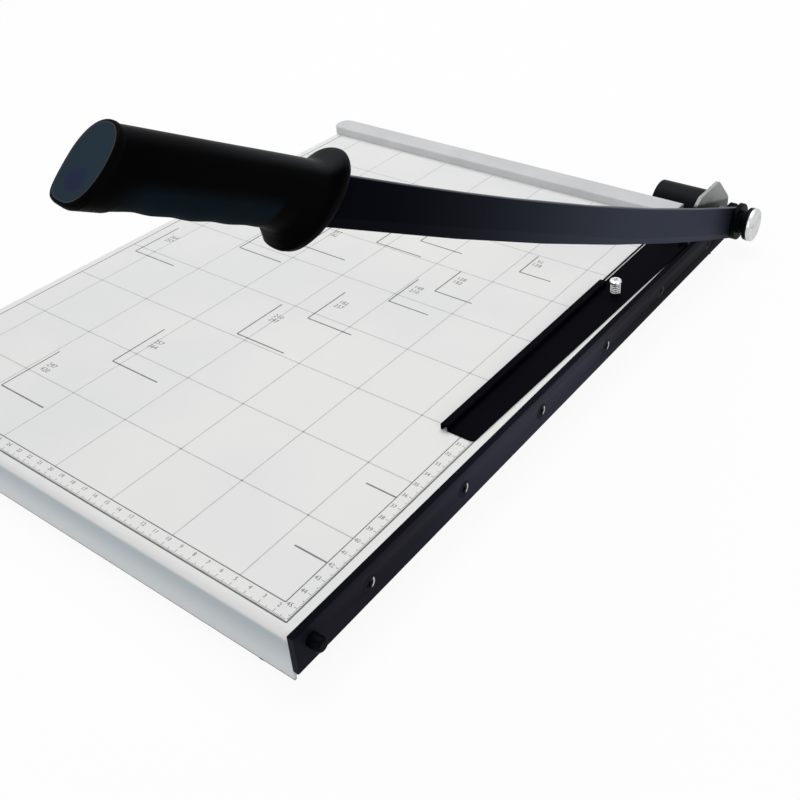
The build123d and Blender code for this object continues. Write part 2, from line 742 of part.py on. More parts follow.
# ------------------------------------------------------------------ handle
grip_sections = [
    grip_front,
    guard_shoulder,
    guard_middle,
    guard_back,
    grip_throat,
    grip_thumb,
    grip_palm,
    grip_end,
]
end_station, end_half_width, end_half_height, end_rise = grip_end
plug_half_width = end_half_width - cap_plug_wall
plug_half_height = end_half_height - cap_plug_wall
screw_face_x = grip_x - grip_palm[1]
slot_thickness = arm_thickness + 2 * slot_clearance
with BuildPart() as handle_grip:
    for station, half_width, half_height, rise in grip_sections:
        with BuildSketch(across_grip(station, rise)):
            Ellipse(half_width, half_height)
    loft(ruled=True)
    # slot for the arm's full width at the front, and for its narrower tang behind
    with BuildSketch(on_grip(arm_x + slot_clearance)):
        with Locations((tang_start / 2, 0)):
            Rectangle(tang_start + 2 * slot_clearance, arm_width + 2 * slot_clearance)
        with Locations(((tang_start + tang_end) / 2, 0)):
            Rectangle(tang_end - tang_start + 2 * slot_clearance, tang_width + 2 * slot_clearance)
    extrude(amount=slot_thickness, mode=Mode.SUBTRACT)
    # recess for the plug of the end cap
    with BuildSketch(across_grip(end_station, end_rise)):
        Ellipse(plug_half_width + slot_clearance, plug_half_height + slot_clearance)
    extrude(amount=-cap_plug_depth - slot_clearance, mode=Mode.SUBTRACT)
    with Locations(*[Location((screw_face_x, spot.Y, spot.Z), (0, -90, 0)) for spot in handle_screw_middles]):
        CounterBoreHole(
            radius=handle_screw_radius + hole_clearance,
            counter_bore_radius=handle_screw_head_radius + hole_clearance,
            counter_bore_depth=handle_screw_sink,
            depth=grip_x + arm_thickness / 2 + handle_screw_bite - screw_face_x,
        )
handle_grip.part.label = "handle_grip"

with BuildPart() as handle_end_cap:
    with BuildSketch(across_grip(end_station, end_rise)):
        Ellipse(end_half_width, end_half_height)
    extrude(amount=cap_thickness)
    fillet(handle_end_cap.faces().sort_by(Axis((0, 0, 0), grip_along))[-1].edges(), cap_edge)
    with BuildSketch(across_grip(end_station, end_rise)):
        Ellipse(plug_half_width, plug_half_height)
    extrude(amount=-cap_plug_depth)
handle_end_cap.part.label = "handle_end_cap"

handle_screw_seat = screw_face_x + handle_screw_sink
handle_screw_grip = arm_x + handle_screw_bite - slot_clearance - handle_screw_seat
handle_screw_set = [
    pan_screw(
        (handle_screw_seat, spot.Y, spot.Z),
        (1, 0, 0),
        handle_screw_radius,
        handle_screw_head_radius,
        handle_screw_grip,
    )
    for spot in handle_screw_middles
]
with BuildPart() as handle_screws:
    add(handle_screw_set)
handle_screws.part.label = "handle_screws"

# ------------------------------------------------------------------ paper clamp
bead_wall_x = -clamp_left + clamp_bead_width - clamp_sheet
bead_middle_x = -clamp_left + clamp_bead_width / 2
lug_places = [-hinge_inset - hinge_half_spread, -hinge_inset + hinge_half_spread - hinge_lug_sheet]
with BuildPart() as clamp_bar:
    with BuildSketch(Plane.XY.offset(bed_z)):
        with BuildLine():
            Polyline(
                (bead_wall_x, -clamp_front),
                (-clamp_right_front, -clamp_front),
                (-clamp_right_back, -clamp_back),
                (-clamp_left_back, -clamp_back),
                (-clamp_left_back, -clamp_bead_end),
                (bead_wall_x, -clamp_bead_end),
                close=True,
            )
        make_face()
    extrude(amount=clamp_sheet)
    front_corner = clamp_bar.edges().filter_by(Axis.Z).group_by(Axis.Y)[0].sort_by(Axis.X)[-1]
    back_corners = clamp_bar.edges().filter_by(Axis.Z).group_by(Axis.Y)[-1]
    fillet([front_corner, *back_corners], clamp_corner)
    # raised bead along the left edge, open below
    with BuildSketch(Plane(origin=(0, -clamp_bead_end, bed_z), x_dir=(1, 0, 0), z_dir=(0, -1, 0))):
        with Locations((bead_middle_x, clamp_bead_height / 2)):
            Rectangle(clamp_bead_width, clamp_bead_height)
        with Locations((bead_middle_x, (clamp_bead_height - clamp_sheet) / 2)):
            Rectangle(clamp_bead_width - 2 * clamp_sheet, clamp_bead_height - clamp_sheet, mode=Mode.SUBTRACT)
    extrude(amount=clamp_front - clamp_bead_end)
    bead_top = clamp_bar.faces().sort_by(Axis.Z)[-1]
    fillet(bead_top.edges().filter_by(Axis.Y), clamp_bead_round)
    # upright lugs that carry the hinge pin
    for lug_x in lug_places:
        with BuildSketch(across(lug_x)):
            with BuildLine():
                Polyline(
                    (-clamp_back - hinge_lug_root, bed_z),
                    (-clamp_back, bed_z),
                    (-hinge_back, hinge_z - hinge_lug_radius),
                    (-hinge_back, hinge_z + hinge_lug_radius),
                    (-clamp_back - hinge_lug_root, bed_z + clamp_sheet),
                    close=True,
                )
            make_face()
            with Locations((-hinge_back, hinge_z)):
                Circle(hinge_lug_radius)
                Circle(hinge_pin_radius + running_gap, mode=Mode.SUBTRACT)
        extrude(amount=hinge_lug_sheet)
    with Locations((*clamp_screw_spot, clamp_top)):
        Hole(clamp_screw_radius + clamp_hole_clearance, depth=clamp_sheet)
clamp_bar.part.label = "clamp_bar"

with BuildPart() as clamp_hinge_bracket:
    with BuildSketch(Plane.XY.offset(bed_z)):
        with Locations(hinge_spot):
            Rectangle(2 * hinge_half_inner, hinge_bracket_length)
    extrude(amount=hinge_bracket_sheet)
    for ear_x in (-hinge_inset - hinge_half_inner, -hinge_inset + hinge_half_inner - hinge_bracket_sheet):
        with BuildSketch(across(ear_x)):
            with Locations((-hinge_back, bed_z + hinge_height / 2)):
                Rectangle(2 * hinge_lug_radius, hinge_height)
            with Locations((-hinge_back, hinge_z)):
                Circle(hinge_lug_radius)
                Circle(hinge_pin_radius + press_gap, mode=Mode.SUBTRACT)
        extrude(amount=hinge_bracket_sheet)
    with Locations((*hinge_spot, bed_z + hinge_bracket_sheet)):
        Hole(hinge_screw_radius + hole_clearance, depth=hinge_bracket_sheet)
clamp_hinge_bracket.part.label = "clamp_hinge_bracket"

pin_half_length = hinge_half_spread + hinge_side_gap
with BuildPart() as clamp_hinge_pin:
    with BuildSketch(across(-hinge_inset - pin_half_length)):
        with Locations((-hinge_back, hinge_z)):
            Circle(hinge_pin_radius)
    extrude(amount=2 * pin_half_length)
    for head_x in (-hinge_inset - pin_half_length - hinge_pin_head_thickness, -hinge_inset + pin_half_length):
        with BuildSketch(across(head_x)):
            with Locations((-hinge_back, hinge_z)):
                Circle(hinge_pin_head_radius)
        extrude(amount=hinge_pin_head_thickness)
clamp_hinge_pin.part.label = "clamp_hinge_pin"

hinge_screw_grip = hinge_bracket_sheet + bed_sheet + 2 * hinge_screw_radius * nut_height_ratio
hinge_screw = pan_screw(
    (*hinge_spot, bed_z + hinge_bracket_sheet),
    (0, 0, -1),
    hinge_screw_radius,
    hinge_screw_head_radius,
    hinge_screw_grip,
)
with BuildPart() as clamp_hinge_screw:
    add(hinge_screw)
clamp_hinge_screw.part.label = "clamp_hinge_screw"

clamp_screw_grip = clamp_screw_seat - bed_under + 2 * clamp_screw_radius * nut_height_ratio
sprung_screw = pan_screw(
    (*clamp_screw_spot, clamp_screw_seat),
    (0, 0, -1),
    clamp_screw_radius,
    clamp_screw_head_radius,
    clamp_screw_grip,
)
with BuildPart() as clamp_screw:
    add(sprung_screw)
clamp_screw.part.label = "clamp_screw"

clamp_spring = coil(
    (*clamp_screw_spot, clamp_top),
    (0, 0, 1),
    clamp_screw_lift,
    clamp_spring_coil_radius,
    clamp_spring_wire,
    clamp_spring_turns,
)
clamp_spring.part.label = "clamp_spring"

clamp_nut_set = [
    hex_nut((*clamp_screw_spot, bed_under), (0, 0, -1), clamp_screw_radius),
    hex_nut((*hinge_spot, bed_under), (0, 0, -1), hinge_screw_radius),
]
with BuildPart() as clamp_nuts:
    add(clamp_nut_set)
clamp_nuts.part.label = "clamp_nuts"

# ------------------------------------------------------------------ write the pieces
pieces = [
    base_tray,
    *ribs,
    side_rail,
    *feet,
    foot_screws,
    foot_nuts,
    fixed_blade,
    fixed_blade_screws,
    stop_stud,
    back_ruler,
    ruler_screws,
    pivot_bracket,
    bracket_screws,
    bracket_nuts,
    pivot_bolt,
    pivot_washer,
    disc_springs,
    friction_washer,
    arm_boss,
    arm_bush,
    pivot_spacer,
    spring_housing,
    pivot_spring,
    spring_seat,
    pivot_nut,
    blade_arm,
    handle_grip,
    handle_end_cap,
    handle_screws,
    clamp_bar,
    clamp_hinge_bracket,
    clamp_hinge_pin,
    clamp_hinge_screw,
    clamp_screw,
    clamp_spring,
    clamp_nuts,
]
boxes = [piece.part.bounding_box() for piece in pieces]
low = [min(getattr(box.min, axis) for box in boxes) for axis in "XYZ"]
high = [max(getattr(box.max, axis) for box in boxes) for axis in "XYZ"]
to_origin = Location((-(low[0] + high[0]) / 2, -(low[1] + high[1]) / 2, -low[2]))
for piece in pieces:
    moved = piece.part.moved(to_origin)
    moved.label = piece.part.label
    export_step(moved, f"parts/{moved.label}.step")
print("overall size", [round(high[i] - low[i], 2) for i in range(3)])
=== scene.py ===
# %% [markdown]
# A guillotine paper cutter, dressed piece by piece. The solid model is loaded as a fixed frame.
# Every new piece is worked out in metres in that frame, so nothing is fitted by eye.

import bmesh
import bpy
import numpy as np
from mathutils import Matrix, Vector


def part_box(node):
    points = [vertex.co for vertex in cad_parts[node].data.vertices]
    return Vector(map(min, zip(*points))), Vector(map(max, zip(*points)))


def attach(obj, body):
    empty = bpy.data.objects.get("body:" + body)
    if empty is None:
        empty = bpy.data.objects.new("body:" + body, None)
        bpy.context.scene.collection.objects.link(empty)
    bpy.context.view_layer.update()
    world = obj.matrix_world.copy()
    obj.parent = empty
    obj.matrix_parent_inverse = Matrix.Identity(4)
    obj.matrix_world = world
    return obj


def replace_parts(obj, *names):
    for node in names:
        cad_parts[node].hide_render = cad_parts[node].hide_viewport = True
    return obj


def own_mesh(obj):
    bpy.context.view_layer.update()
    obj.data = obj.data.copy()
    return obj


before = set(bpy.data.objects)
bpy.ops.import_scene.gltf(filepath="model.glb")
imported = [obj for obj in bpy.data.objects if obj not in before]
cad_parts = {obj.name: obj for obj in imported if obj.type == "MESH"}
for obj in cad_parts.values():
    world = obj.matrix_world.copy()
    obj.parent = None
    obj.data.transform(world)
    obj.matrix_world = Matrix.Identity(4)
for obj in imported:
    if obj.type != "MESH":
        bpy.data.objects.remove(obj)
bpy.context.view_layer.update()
MM = 0.001

# %% [markdown]
# A cutter is measured from three places: the cutting plane, which is the outer face of the fixed
# blade, the front face of the back ruler, and the table. A point given in millimetres from these
# three is turned into the frame by one function, and the places are read from the solids.

# %% Datums: cutting plane, ruler face, table
cut_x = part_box("fixed_blade")[1].x
ruler_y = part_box("back_ruler")[0].y
bed_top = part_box("base_tray")[1].z


def at(x, y, z):
    """Point in metres: the three datums plus millimetres along X, Y and Z. Takes arrays too."""
    x, y, z = (np.asarray(millimetres) * MM for millimetres in (x, y, z))
    return np.stack(np.broadcast_arrays(cut_x + x, ruler_y + y, z), -1)


BED_Z = bed_top / MM
PIVOT_Y, PIVOT_Z = 50.0, 24.0
print("bed top", round(BED_Z, 2), "mm; pivot", at(0, PIVOT_Y, PIVOT_Z).round(4))

# %% [markdown]
# The camera stands in front of the right corner and looks down at the bed. Its lens is moved off
# centre a little, because the object fills the picture unevenly. Its turn is given by the three
# directions to its right, down and ahead, each of length 1 and square to the other two.

# %% Camera
camera_data = bpy.data.cameras.new("camera")
camera = bpy.data.objects.new("camera", camera_data)
bpy.context.scene.collection.objects.link(camera)
bpy.context.scene.camera = camera
camera_data.sensor_width = 36.0
camera_data.lens = 45.97
camera_data.shift_x, camera_data.shift_y = -0.0825, -0.125
camera.location = at(260.2, -669.4, 418.5)
camera_right = np.array([0.8172002, 0.5750573, -0.0386392])
camera_down = np.array([0.2793710, -0.4538616, -0.8461451])
camera_ahead = np.array([-0.5041187, 0.6806752, -0.5315501])
camera_axes = np.stack([camera_right, -camera_down, -camera_ahead], 1)
camera.rotation_euler = Matrix(camera_axes.tolist()).to_euler()
print("camera at", [round(v, 3) for v in camera.location])

# %% [markdown]
# Shader maths reads best as a formula. A small class holds one output socket, and the usual signs
# on it add Math nodes, also with a plain number on the left. One more method adds any other node.


# %% Shader formulas
class Shade:
    """One output socket; + - * / ** on it add Math nodes."""

    def __init__(self, tree, socket=None):
        self.tree, self.socket = tree, socket

    def node(self, kind, settings=None, inputs=None, out=0):
        """Adds a node of this type, gives it its settings, then its values or links."""
        made = self.tree.nodes.new("ShaderNode" + kind)
        for name, value in (settings or {}).items():
            setattr(made, name, value)
        for name, value in (inputs or {}).items():
            if isinstance(value, Shade):
                self.tree.links.new(value.socket, made.inputs[name])
            else:
                made.inputs[name].default_value = value
        return Shade(self.tree, made.outputs[out])

    def math(self, operation, *values):
        """A Math node with this operation on these values."""
        return self.node("Math", {"operation": operation}, dict(enumerate(values)))

    def __add__(self, other):
        return self.math("ADD", self, other)

    def __sub__(self, other):
        return self.math("SUBTRACT", self, other)

    def __rsub__(self, other):
        return self.math("SUBTRACT", other, self)

    def __mul__(self, other):
        return self.math("MULTIPLY", self, other)

    def __truediv__(self, other):
        return self.math("DIVIDE", self, other)

    def __pow__(self, other):
        return self.math("POWER", self, other)

    __radd__, __rmul__ = __add__, __mul__

    def between(self, start, end):
        """0 below start, 1 above end, smooth in between."""
        smooth = {"interpolation_type": "SMOOTHSTEP"}
        return self.node("MapRange", smooth, {0: self, 1: start, 2: end})

    def colour(self, low, high):
        """Mixes two colours, plain or worked out, by this value."""
        return self.node("Mix", {"data_type": "RGBA"}, {0: self, 6: low, 7: high}, out=2)

    def noise(self, where, scale, detail):
        """Noise from 0 to 1; a larger scale is a finer grain."""
        inputs = {"Vector": where, "Scale": scale, "Detail": detail}
        return self.node("TexNoise", None, inputs, out="Fac")

    def axes(self, where):
        """The X, Y and Z of a vector."""
        split = self.node("SeparateXYZ", None, {0: where}).socket.node
        return [Shade(self.tree, split.outputs[i]) for i in range(3)]

    def bump(self, height, distance, strength):
        """Normals of a surface that is raised by the height times the distance."""
        inputs = {"Height": height, "Distance": distance, "Strength": strength}
        return self.node("Bump", None, inputs)


def finish(name, **fixed):
    """A new material with the shader's fixed sockets set by name, its shader and a Shade."""
    material = bpy.data.materials.new(name)
    material.use_nodes = True
    shader = material.node_tree.nodes["Principled BSDF"]
    for socket, value in fixed.items():
        shader.inputs[socket.replace("_", " ")].default_value = value
    return material, shader, Shade(material.node_tree)


def feed(shader, **links):
    """Links Shade values to the shader's sockets by name."""
    for socket, value in links.items():
        value.tree.links.new(value.socket, shader.inputs[socket.replace("_", " ")])


def grey(value, blue=0.0):
    """A grey with some blue added and half as much red taken away."""
    return (value - blue / 2, value, value + blue, 1.0)


# %% [markdown]
# The bed is sheet steel under stoved enamel. Enamel flows a little while it is baked, which leaves
# a faint orange peel, and hands leave soft patches where it is slightly smoother or greyer. The
# top carries a white printed ground, and the folded skirts below it show the grey-blue enamel,
# darkened towards their top by painted shade under the rounded edge, with a darker line along
# their hem. The narrow strip of bed beside the blade's back end is blackened by a painted shadow
# of the arm. Each of these is a band of height or of place, so that a few masks are enough and
# no picture has to be painted.

# %% Bed enamel
WHITE_LOW, WHITE_HIGH = (0.735, 0.745, 0.74, 1), (0.79, 0.795, 0.78, 1)
SKIRT_LOW, SKIRT_HIGH = (0.62, 0.65, 0.665, 1), (0.40, 0.45, 0.485, 1)
HEM_DARK, BED_PAINTED_SHADOW = (0.16, 0.17, 0.18, 1), (0.012, 0.013, 0.016, 1)
bed_enamel, shader, s = finish("bed_enamel", Specular_IOR_Level=0.3)
where = s.node("TexCoord", out="Object")
patches = s.noise(where, 9.0, 4.0)
peel = s.noise(where, 900.0, 2.0)
x, y, height = s.axes(where)
ground = height.between(bed_top - 5.2 * MM, bed_top - 2.6 * MM)
white = patches.between(0.3, 0.75).colour(WHITE_LOW, WHITE_HIGH)
# Painted shade: the skirts' grey-blue is darker towards their top, under the rounded edge.
skirt = height.between(8 * MM, bed_top - 5 * MM).colour(SKIRT_LOW, SKIRT_HIGH)
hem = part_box("base_tray")[0].z
skirt = height.between(hem + 0.4 * MM, hem + 1.0 * MM).colour(HEM_DARK, skirt)
# Painted shadow: the arm's shadow is painted black on the strip of bed beside the blade's back end.
beside_blade = x.between(cut_x - 13 * MM, cut_x - 11.5 * MM)
painted_shadow = beside_blade * y.between(ruler_y - 86 * MM, ruler_y - 62 * MM)
feed(
    shader,
    Base_Color=painted_shadow.colour(ground.colour(skirt, white), BED_PAINTED_SHADOW),
    Roughness=0.34 + patches * 0.16,
    Normal=s.bump(peel, 0.00004, 0.5),
)
print("made", bed_enamel.name)

# %% [markdown]
# Most small parts share a few finishes. Each one is a function of a colour and a grain size, so
# that enamel, moulded plastic and plated steel differ in their grain and in how they wear.


# %% Enamel, plastic and steel
def enamel(name, low, high, roughness, gloss=0.3, grain=700.0, cloud=14.0):
    """Painted steel: colour and gloss drift in clouds, and a fine peel breaks the reflections."""
    material, shader, s = finish(name, Specular_IOR_Level=gloss)
    where = s.node("TexCoord", out="Object")
    clouds = s.noise(where, cloud, 5.0).between(0.3, 0.72)
    feed(
        shader,
        Base_Color=clouds.colour(low, high),
        Roughness=roughness - 0.06 + clouds * 0.14,
        Normal=s.bump(s.noise(where, grain, 2.0), 0.00005, 0.6),
    )
    return material


def moulded(name, low, high, roughness, gloss=0.3, grain=1400.0):
    """Moulded plastic or rubber: an even spark-eroded grain, with patches that handling leaves."""
    material, shader, s = finish(name, Specular_IOR_Level=gloss)
    where = s.node("TexCoord", out="Object")
    handled = s.noise(where, 22.0, 3.0)
    grains = s.noise(where, grain, 1.0)
    feed(
        shader,
        Base_Color=handled.between(0.3, 0.7).colour(low, high),
        Roughness=roughness + (grains - 0.5) * 0.2 + handled * 0.08,
        Normal=s.bump(grains, 0.00008, 0.7),
    )
    return material


def steel(name, low, high, roughness, stretch=(1.0, 1.0, 1.0)):
    """Bare or plated steel: fine lines drawn out along one axis, with clouds of stain."""
    material, shader, s = finish(name, Metallic=1.0)
    where = s.node("TexCoord", out="Object")
    lines = s.noise(s.node("Mapping", None, {"Vector": where, "Scale": stretch}), 900.0, 2.0)
    stain = s.noise(where, 60.0, 4.0).between(0.35, 0.75)
    feed(
        shader,
        Base_Color=stain.colour(low, high),
        Roughness=roughness + lines * 0.14 + stain * 0.06,
        Normal=s.bump(lines, 0.00003, 0.5),
    )
    return material


CLAMP_LOW, CLAMP_HIGH = (0.0004, 0.0003, 0.0020, 1), (0.0020, 0.0018, 0.0036, 1)
BRACKET_LOW, BRACKET_HIGH = (0.30, 0.33, 0.315, 1), (0.38, 0.41, 0.39, 1)
clamp_enamel = enamel("clamp_enamel", CLAMP_LOW, CLAMP_HIGH, 0.45, gloss=0.008)
bracket_enamel = enamel("bracket_enamel", BRACKET_LOW, BRACKET_HIGH, 0.45)
ruler_plastic = moulded("ruler_plastic", grey(0.54, 0.01), grey(0.60, 0.01), 0.45)
sleeve_plastic = moulded("sleeve_plastic", grey(0.003, 0.001), grey(0.006, 0.002), 0.40, 0.04)
rim_plastic = moulded("rim_plastic", grey(0.0006), grey(0.0014), 0.45, 0.015)
foot_rubber = moulded("foot_rubber", grey(0.012), grey(0.02), 0.75, 0.3, 900.0)
zinc = steel("zinc", grey(0.52), grey(0.64, -0.01), 0.28)
raw_steel = steel("raw_steel", grey(0.38), grey(0.48), 0.40, (0.05, 1, 1))
spring_wire = steel("spring_wire", grey(0.24), grey(0.33), 0.34)
brass = steel("brass", (0.62, 0.44, 0.18, 1), (0.70, 0.52, 0.24, 1), 0.28)
OXIDE_LOW, OXIDE_HIGH = grey(0.0015, 0.001), grey(0.004, 0.002)
black_oxide = enamel(
    "black_oxide", OXIDE_LOW, OXIDE_HIGH, 0.40, gloss=0.02, grain=1100.0, cloud=90.0
)
polished = steel("polished", grey(0.70), grey(0.80), 0.16)
print("finishes", len(bpy.data.materials))

# %% [markdown]
# The fixed blade is greyest over a stretch of its middle. It is blackest near the pivot, under the
# arm, where the black is painted shade, and it is darker along its top edge. All three are
# functions of the distance from the ruler or of the height, with clouds of noise.


# %% Blade finish
def along_ruler(y, start, end):
    """Rises from 0 to 1 between two places on Y, in millimetres from the ruler's face."""
    return y.between(float(at(0, start, 0)[1]), float(at(0, end, 0)[1]))


BLADE_DARK, BLADE_GREYER = (0.011, 0.011, 0.018, 1), (0.032, 0.034, 0.054, 1)
BLADE_BLACK = (0.0008, 0.001, 0.003, 1)
SHADE_FROM, SHADE_TO = -165, -55
blade_enamel, shader, s = finish("blade_enamel", Specular_IOR_Level=0.012)
where = s.node("TexCoord", out="Object")
_, y, z = s.axes(where)
greyer_middle = along_ruler(y, -420, -240) * (1 - along_ruler(y, -225, -110))
clouds = s.noise(where, 14.0, 5.0)
# Painted shade: the blade is painted black near the pivot, where the arm shades it.
painted_shade = along_ruler(y, SHADE_FROM, SHADE_TO)
tone = (greyer_middle + (clouds - 0.5) * 0.25).between(0, 1).colour(BLADE_DARK, BLADE_GREYER)
blade_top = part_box("fixed_blade")[1].z
top_edge = z.between(blade_top - 2.4 * MM, blade_top - 0.8 * MM)
feed(
    shader,
    Base_Color=painted_shade.math("MAXIMUM", painted_shade, top_edge * 0.9).colour(tone, BLADE_BLACK),
    Roughness=0.38 + clouds * 0.14,
    Normal=s.bump(s.noise(where, 700.0, 2.0), 0.00005, 0.6),
)
print("made", blade_enamel.name)

# %% [markdown]
# The blade's six screws share its black, and a painted glint lights one side of each head. The
# glinting crescents are found from the distance and the direction to the nearest screw. The heads
# are evenly spaced, so the place along the row, less its nearest whole number of steps, is the
# first part of that distance, and the height above the row is the second.

# %% Blade screw finish
SCREW_BLACK, SCREW_GLINT = (0.009, 0.009, 0.014, 1), (0.55, 0.56, 0.58, 1)
SCREWS, GLINT_Y, GLINT_Z = 6, 0.96, 0.26
screw_finish, shader, s = finish("screw_finish", Specular_IOR_Level=0.015)
where = s.node("TexCoord", out="Object")
_, y, z = s.axes(where)
screws_low, screws_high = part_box("fixed_blade_screws")
screw_r = (screws_high.z - screws_low.z) / 2
screw_z = (screws_high.z + screws_low.z) / 2
screw_y = screws_low.y + screw_r
screw_pitch = (screws_high.y - screw_r - screw_y) / (SCREWS - 1)
steps_along = (y - screw_y) / screw_pitch
off_y = (steps_along - steps_along.math("ROUND", steps_along)) * screw_pitch
off_z = z - screw_z
off = (off_y**2 + off_z**2) ** 0.5
side = (off_y * GLINT_Y - off_z * GLINT_Z) / (off + 1e-6)
inside, outside = (0.60 * screw_r, 0.68 * screw_r), (0.80 * screw_r, 0.90 * screw_r)
# Painted glint: a bright, partly metallic crescent on one side of each head, left out in the
# painted shade near the pivot.
glint = off.between(*inside) * (1 - off.between(*outside))
glint = glint * side.between(0.55, 0.85) * (1 - along_ruler(y, SHADE_FROM, SHADE_TO))
feed(
    shader,
    Base_Color=glint.colour(SCREW_BLACK, SCREW_GLINT),
    Metallic=glint * 0.6,
    Roughness=0.42 - glint * 0.1,
    Normal=s.bump(s.noise(where, 900.0, 2.0), 0.00004, 0.5),
)
print("blade screws", round(screw_pitch / MM, 1), "mm apart")

# %% [markdown]
# Every solid of the frame gets the finish of its real piece. A solid that is redrawn further on
# keeps this finish only until its new piece replaces it.

# %% Finish of each solid
finish_of = {
    "base_tray": bed_enamel, "bed_rib_front": raw_steel, "bed_rib_back": raw_steel,
    "side_rail": raw_steel, "foot_front_left": foot_rubber, "foot_front_right": foot_rubber,
    "foot_back_left": foot_rubber, "foot_back_right": foot_rubber, "foot_screws": zinc,
    "foot_nuts": zinc, "fixed_blade": blade_enamel, "fixed_blade_screws": screw_finish,
    "stop_stud": black_oxide, "back_ruler": ruler_plastic, "ruler_screws": zinc,
    "pivot_bracket": bracket_enamel, "bracket_screws": black_oxide, "bracket_nuts": zinc,
    "pivot_bolt": polished, "pivot_washer": black_oxide, "disc_springs": black_oxide,
    "friction_washer": sleeve_plastic, "arm_boss": black_oxide, "arm_bush": brass,
    "pivot_spacer": raw_steel, "spring_housing": sleeve_plastic, "pivot_spring": spring_wire,
    "spring_seat": zinc, "pivot_nut": zinc, "blade_arm": blade_enamel,
    "handle_grip": sleeve_plastic, "handle_end_cap": sleeve_plastic, "handle_screws": zinc,
    "clamp_bar": clamp_enamel, "clamp_hinge_bracket": black_oxide, "clamp_hinge_pin": black_oxide,
    "clamp_hinge_screw": black_oxide, "clamp_screw": polished, "clamp_spring": polished,
    "clamp_nuts": zinc,
}
assert set(finish_of) == set(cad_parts)
for node, material in finish_of.items():
    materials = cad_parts[node].data.materials
    materials.clear()
    materials.append(material)
print("finished solids", len(finish_of))


# %% [markdown]
# New pieces are surfaces on a grid: one direction runs along the piece and the other round it.
# Numpy works out all the points at once, and a single function turns the grid into a closed mesh.


# %% Grid to mesh
def new_piece(name, points, faces, material, body, slot, uv=None):
    """Mesh from point and face arrays, riding on a body. Its slot argument is not used."""
    mesh = bpy.data.meshes.new(name)
    corners = [list(map(int, face)) for face in faces]
    mesh.from_pydata(np.asarray(points).reshape(-1, 3).tolist(), [], corners)
    if uv is not None:
        corner = np.zeros(len(mesh.loops), np.int32)
        mesh.loops.foreach_get("vertex_index", corner)
        layer = mesh.uv_layers.new(name="UVMap")
        layer.data.foreach_set("uv", np.asarray(uv)[corner].astype(np.float32).ravel())
    mesh.materials.append(material)
    mesh.validate()
    piece = bpy.data.objects.new(name, mesh)
    bpy.context.scene.collection.objects.link(piece)
    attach(piece, body)
    print(name, len(mesh.vertices), "points", len(mesh.polygons), "faces")
    return piece


def tube_faces(rings, around):
    """Quads of a closed tube of rings, and one many-sided face at each end."""
    ring, step = np.meshgrid(np.arange(rings - 1), np.arange(around), indexing="ij")
    a = ring * around + step
    b = ring * around + (step + 1) % around
    quads = np.stack([a, b, b + around, a + around], -1).reshape(-1, 4)
    first = np.arange(around)[::-1]
    last = (rings - 1) * around + np.arange(around)
    return [*quads, first, last]


def smoothed(piece, angle):
    """Curved faces look round, and edges sharper than the angle stay crisp."""
    piece.data.polygons.foreach_set("use_smooth", np.ones(len(piece.data.polygons), bool))
    piece.data.set_sharp_from_angle(angle=np.radians(angle))
    return piece


# %% [markdown]
# The printed bed: thin ink lines on the enamel. Each line is a closed bar a few hundredths of a
# millimetre thick, so it shows in any light and from any side. The print could be a pattern in the
# enamel, but real lines keep their edges sharp at any distance. The squares are 5 cm wide and are
# counted from the cutting plane and from the back ruler.


# %% Printed bars
INK_LOW, INK_HIGH = BED_Z - 0.02, BED_Z + 0.04


def bars(start, end, width):
    """Points and faces of flat bars from start to end: the ends moved half a width to each side."""
    start, end = np.asarray(start, float), np.asarray(end, float)
    along = (end - start) / np.linalg.norm(end - start, axis=1, keepdims=True)
    half = np.broadcast_to(width, len(start))[:, None] / 2
    side = np.stack([-along[:, 1], along[:, 0]], 1) * half
    corners = np.stack([start - side, end - side, end + side, start + side], 1)
    heights = np.array([INK_LOW, INK_HIGH])
    points = at(corners[:, None, :, 0], corners[:, None, :, 1], heights[None, :, None])
    box = np.array([
        [3, 2, 1, 0], [4, 5, 6, 7], [0, 1, 5, 4], [1, 2, 6, 5], [2, 3, 7, 6], [3, 0, 4, 7],
    ])
    faces = (box[None] + 8 * np.arange(len(start))[:, None, None]).reshape(-1, 4)
    return points.reshape(-1, 3), faces


def ink(name, dark, light):
    """Screen ink: matt, a little uneven where the bed was not quite flat below the mesh."""
    material, shader, s = finish(name, Specular_IOR_Level=0.2)
    uneven = s.noise(s.node("TexCoord", out="Object"), 160.0, 3.0)
    tone = uneven.between(0.3, 0.7).colour(dark, light)
    feed(shader, Base_Color=tone, Roughness=0.55 + uneven * 0.2)
    return material


grid_ink = ink("grid_ink", grey(0.50), grey(0.58))
mark_ink = ink("mark_ink", grey(0.17), grey(0.25))
rule_ink = ink("rule_ink", grey(0.14), grey(0.20))
print("ink lies", round(INK_HIGH - BED_Z, 2), "mm above the enamel")

# %% [markdown]
# The scale runs along the front and the right edge, in centimetres and millimetres, between two
# ruled lines. Zero is at the cutting plane and at the ruler, which a sheet is pushed against. All
# lines of one kind are two arrays, their starts and their ends, so that one call draws them all.

# %% Squares, borders and scale ticks
LEFT, FRONT, BACK = -374.0, -459.0, -1.0
EDGE, INNER, FRONT_INNER = -9.75, -18.75, -450.0
SQUARE = 50.0
GRID_WIDTH, TICK_WIDTH, MARK_WIDTH = 0.75, 0.28, 1.0
columns = -SQUARE * np.arange(1, 8)
rows = -SQUARE * np.arange(1, 9)


def upright(places, y):
    """One point per column place, all at the same Y."""
    return np.c_[places, np.full(len(places), y)]


def level(x, places):
    """One point per row place, all at the same X."""
    return np.c_[np.full(len(places), x), places]


grid_start = np.vstack([upright(columns, BACK), level(LEFT, rows)])
grid_end = np.vstack([upright(columns, FRONT_INNER), level(INNER, rows)])
new_piece("grid_print", *bars(grid_start, grid_end, GRID_WIDTH), grid_ink, "base", "bed_enamel")

